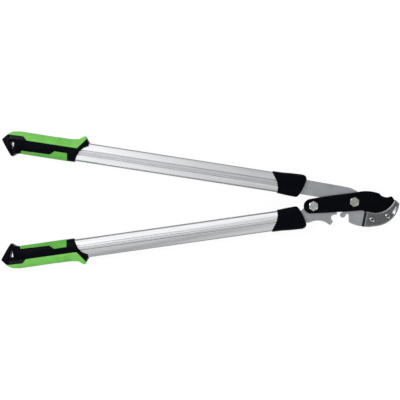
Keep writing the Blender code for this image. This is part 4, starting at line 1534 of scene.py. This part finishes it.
# %% [markdown]
# Inside each sleeve a nylon plug fills the tube, and two steel pins go through it and the tang.
# They can't be seen from outside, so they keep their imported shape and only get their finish.

# %% Finishes of the hidden pieces
for name in HANDLES:
    for node, material in (
        (f"{name}_tube_plug", nylon),
        (f"{name}_tang_pin_1", zinc),
        (f"{name}_tang_pin_2", zinc),
    ):
        coat(nodes[node].data, material)
        print(f"{node}: {material.name}")

# %% [markdown]
# The table is a plain pale sheet. The picture was cut out on white, so the floor is nearly
# white, and part of what the camera and reflections see of it is even light. The rest is a real
# diffuse surface, so it still keeps the lopper's soft shadow.

# %% Floor
FLOOR_SIZE = 40.0
FLOOR_GLOW = 0.88
FLOOR_WHITE = 1.05
FLOOR_BOUNCE = 0.7  # how much of the light it scatters


def seen_directly(tree):
    """1 for rays from the camera, from a reflection or through glass, and 0 for the rest."""
    path = add(tree, "ShaderNodeLightPath")
    total = path.outputs["Is Camera Ray"]
    for other in ("Is Glossy Ray", "Is Transmission Ray"):
        sides = {0: total, 1: path.outputs[other]}
        total = add(tree, "ShaderNodeMath", sides, operation="MAXIMUM").outputs[0]
    return total


def floor_finish():
    material = bpy.data.materials.new("pale_floor")
    material.use_nodes = True
    tree = material.node_tree
    tree.nodes.clear()
    paper = add(tree, "ShaderNodeBsdfDiffuse", {"Color": (*[FLOOR_BOUNCE] * 3, 1.0)}).outputs[0]
    glow = add(tree, "ShaderNodeEmission", {"Color": (1.0, 1.0, 1.0, 1.0), "Strength": FLOOR_WHITE})
    glow = glow.outputs[0]
    sides = {0: seen_directly(tree), 1: FLOOR_GLOW}
    share = add(tree, "ShaderNodeMath", sides, operation="MULTIPLY").outputs[0]
    mixed = add(tree, "ShaderNodeMixShader", {0: share, 1: paper, 2: glow}).outputs[0]
    add(tree, "ShaderNodeOutputMaterial", {"Surface": mixed})
    return material


def pale_floor():
    half = FLOOR_SIZE / 2
    corners = ((-half, -half, 0.0), (half, -half, 0.0), (half, half, 0.0), (-half, half, 0.0))
    mesh = bpy.data.meshes.new("floor")
    mesh.from_pydata(corners, [], [(0, 1, 2, 3)])
    coat(mesh, floor_finish())
    return in_scene("floor", mesh)


floor = pale_floor()
print(f"the floor is {FLOOR_SIZE:.0f} m wide")

# %% [markdown]
# Metal shows what is around it, so the room matters more than the lamps. Each tube here is bright
# near its grip and greyer near the head, so the room's grip side is brighter. The flat crown of
# a tube mirrors the camera's surroundings, which are dimmer than the walls. So the room's
# brightness is a product of simple ramps over the direction that a reflected ray takes. On the
# near side, below the picture, three ramps are added, which give a light, a dark and a light
# zone from left to right, as the near halves of the tubes show them. The camera itself sees
# plain white where the floor ends.

# %% Levels of the studio room
ROOM_LEVEL = 0.55
WALL_LEVEL = 0.72  # how much brighter the walls on the grip side are
WALL_SLANT = Vector((1.0, -0.13, 0.0))  # the bright part reaches further on the upper side
WALL_ALONG = (-0.14, 0.08)  # along that, from the bright end to the dim end
FAR_WALL = (0.1, 0.2)  # y of a direction, from the strip overhead to the wall beyond the head
NEAR_WALL = (-0.24, -0.34)  # and to the wall on the near side
NEAR_SIDE = (-0.5, -0.03, 0.88)  # the side below the picture is a little dimmer
NEAR_ZONE = (-0.06, -0.16)  # y of a direction where that side's three steps begin
NEAR_STEPS = ((-0.05, 0.01, 0.34), (0.01, 0.05, -0.54), (0.065, 0.12, 0.52))  # from x, to x, change
HORIZON = (0.0, 0.35, 0.85)  # z from, z to, and how bright the lowest part is beside the rest

# %% [markdown]
# The world's Texture Coordinate gives the direction of a ray. Its x, y and z go through Map
# Range nodes with soft ends, and Math nodes join the results. Light Path tells a camera ray from
# the others, and Mix Shader gives it the white background.

# %% The studio room


def background(tree, strength):
    """White light of a strength, which is a number or another node's output."""
    white = {"Color": (1, 1, 1, 1), "Strength": strength}
    return add(tree, "ShaderNodeBackground", white).outputs[0]


def studio_room():
    world = bpy.data.worlds.new("studio_room")
    world.use_nodes = True
    tree = world.node_tree
    tree.nodes.clear()
    direction = add(tree, "ShaderNodeTexCoord").outputs["Generated"]
    x, y, z = add(tree, "ShaderNodeSeparateXYZ", {0: direction}).outputs
    sides = {0: direction, 1: WALL_SLANT}
    slanted = add(tree, "ShaderNodeVectorMath", sides, operation="DOT_PRODUCT").outputs["Value"]

    def ramp(value, start, end, first, last):
        settings = {"Value": value, "From Min": start, "From Max": end}
        settings |= {"To Min": first, "To Max": last}
        node = add(tree, "ShaderNodeMapRange", settings, interpolation_type="SMOOTHSTEP")
        return node.outputs["Result"]

    def calculate(operation, first, second=0.0):
        return add(tree, "ShaderNodeMath", {0: first, 1: second}, operation=operation).outputs[0]

    along = ramp(slanted, *WALL_ALONG, WALL_LEVEL, 0.0)
    walls = (ramp(y, *FAR_WALL, 0.0, 1.0), ramp(y, *NEAR_WALL, 0.0, 1.0))
    across = calculate("MAXIMUM", *walls)
    level = calculate("ADD", calculate("MULTIPLY", along, across), ROOM_LEVEL)
    level = calculate("MULTIPLY", level, ramp(y, *NEAR_SIDE, 1.0))
    near = ramp(y, *NEAR_ZONE, 0.0, 1.0)
    for start, end, change in NEAR_STEPS:
        step = calculate("MULTIPLY", near, ramp(x, start, end, 0.0, change))
        level = calculate("ADD", level, step)
    level = calculate("MULTIPLY", level, ramp(z, *HORIZON, 1.0))
    sides = {1: background(tree, level), 2: background(tree, 1.0)}
    sides[0] = add(tree, "ShaderNodeLightPath").outputs["Is Camera Ray"]
    surface = add(tree, "ShaderNodeMixShader", sides).outputs[0]
    add(tree, "ShaderNodeOutputWorld", {"Surface": surface})
    return world


bpy.context.scene.world = studio_room()
print("the room's world has", len(bpy.context.scene.world.node_tree.nodes), "nodes")

# %% [markdown]
# One soft box stands to the upper left of the picture, as the glints on the bolt heads and on
# the tip of the counter blade show. A second, weaker one on the other side fills the shadows.

# %% Soft boxes
AIM = Vector((-0.29, 0.0, 0.0))


def soft_box(name, azimuth, from_vertical, distance, size, power):
    lamp = bpy.data.lights.new(name, "AREA")
    lamp.shape = "DISK"
    lamp.size = size
    lamp.energy = power
    obj = in_scene(name, lamp)
    a, t = radians(azimuth), radians(from_vertical)
    towards = Vector((sin(t) * cos(a), sin(t) * sin(a), cos(t)))
    obj.location = AIM + towards * distance
    obj.rotation_euler = towards.to_track_quat("Z", "Y").to_euler()
    obj.visible_camera = False
    print(f"{name}: {power:.0f} W from {distance} m")


soft_box("key_box", azimuth=153, from_vertical=36, distance=2.4, size=0.7, power=16.0)
soft_box("fill_box", azimuth=-40, from_vertical=50, distance=2.6, size=1.2, power=6.0)

# %% [markdown]
# The picture was taken from straight above with a long lens. The camera is placed so that one
# pixel of the 400 pixel wide picture covers 1.889 mm in the middle plane of the lopper, and it
# is turned by a third of a degree, which is how the lopper lies in the picture.

# %% Camera
PIXEL = 1.889 * MM
PICTURE = 400
LENS = 100.0
SENSOR = 36.0
VIEW_CENTRE = (-0.2902, 0.0019)
VIEW_TURN = radians(0.37)
camera_data = bpy.data.cameras.new("camera")
camera_data.lens = LENS
camera_data.sensor_width = SENSOR
camera = in_scene("camera", camera_data)
height = PIXEL * PICTURE * LENS / SENSOR + HANDLES["upper"].translation.z
camera.location = (*VIEW_CENTRE, height)
camera.rotation_euler = (0.0, 0.0, VIEW_TURN)
bpy.context.scene.camera = camera
bpy.context.scene.view_settings.view_transform = "Standard"
print(f"the camera is {height:.2f} m above the table")
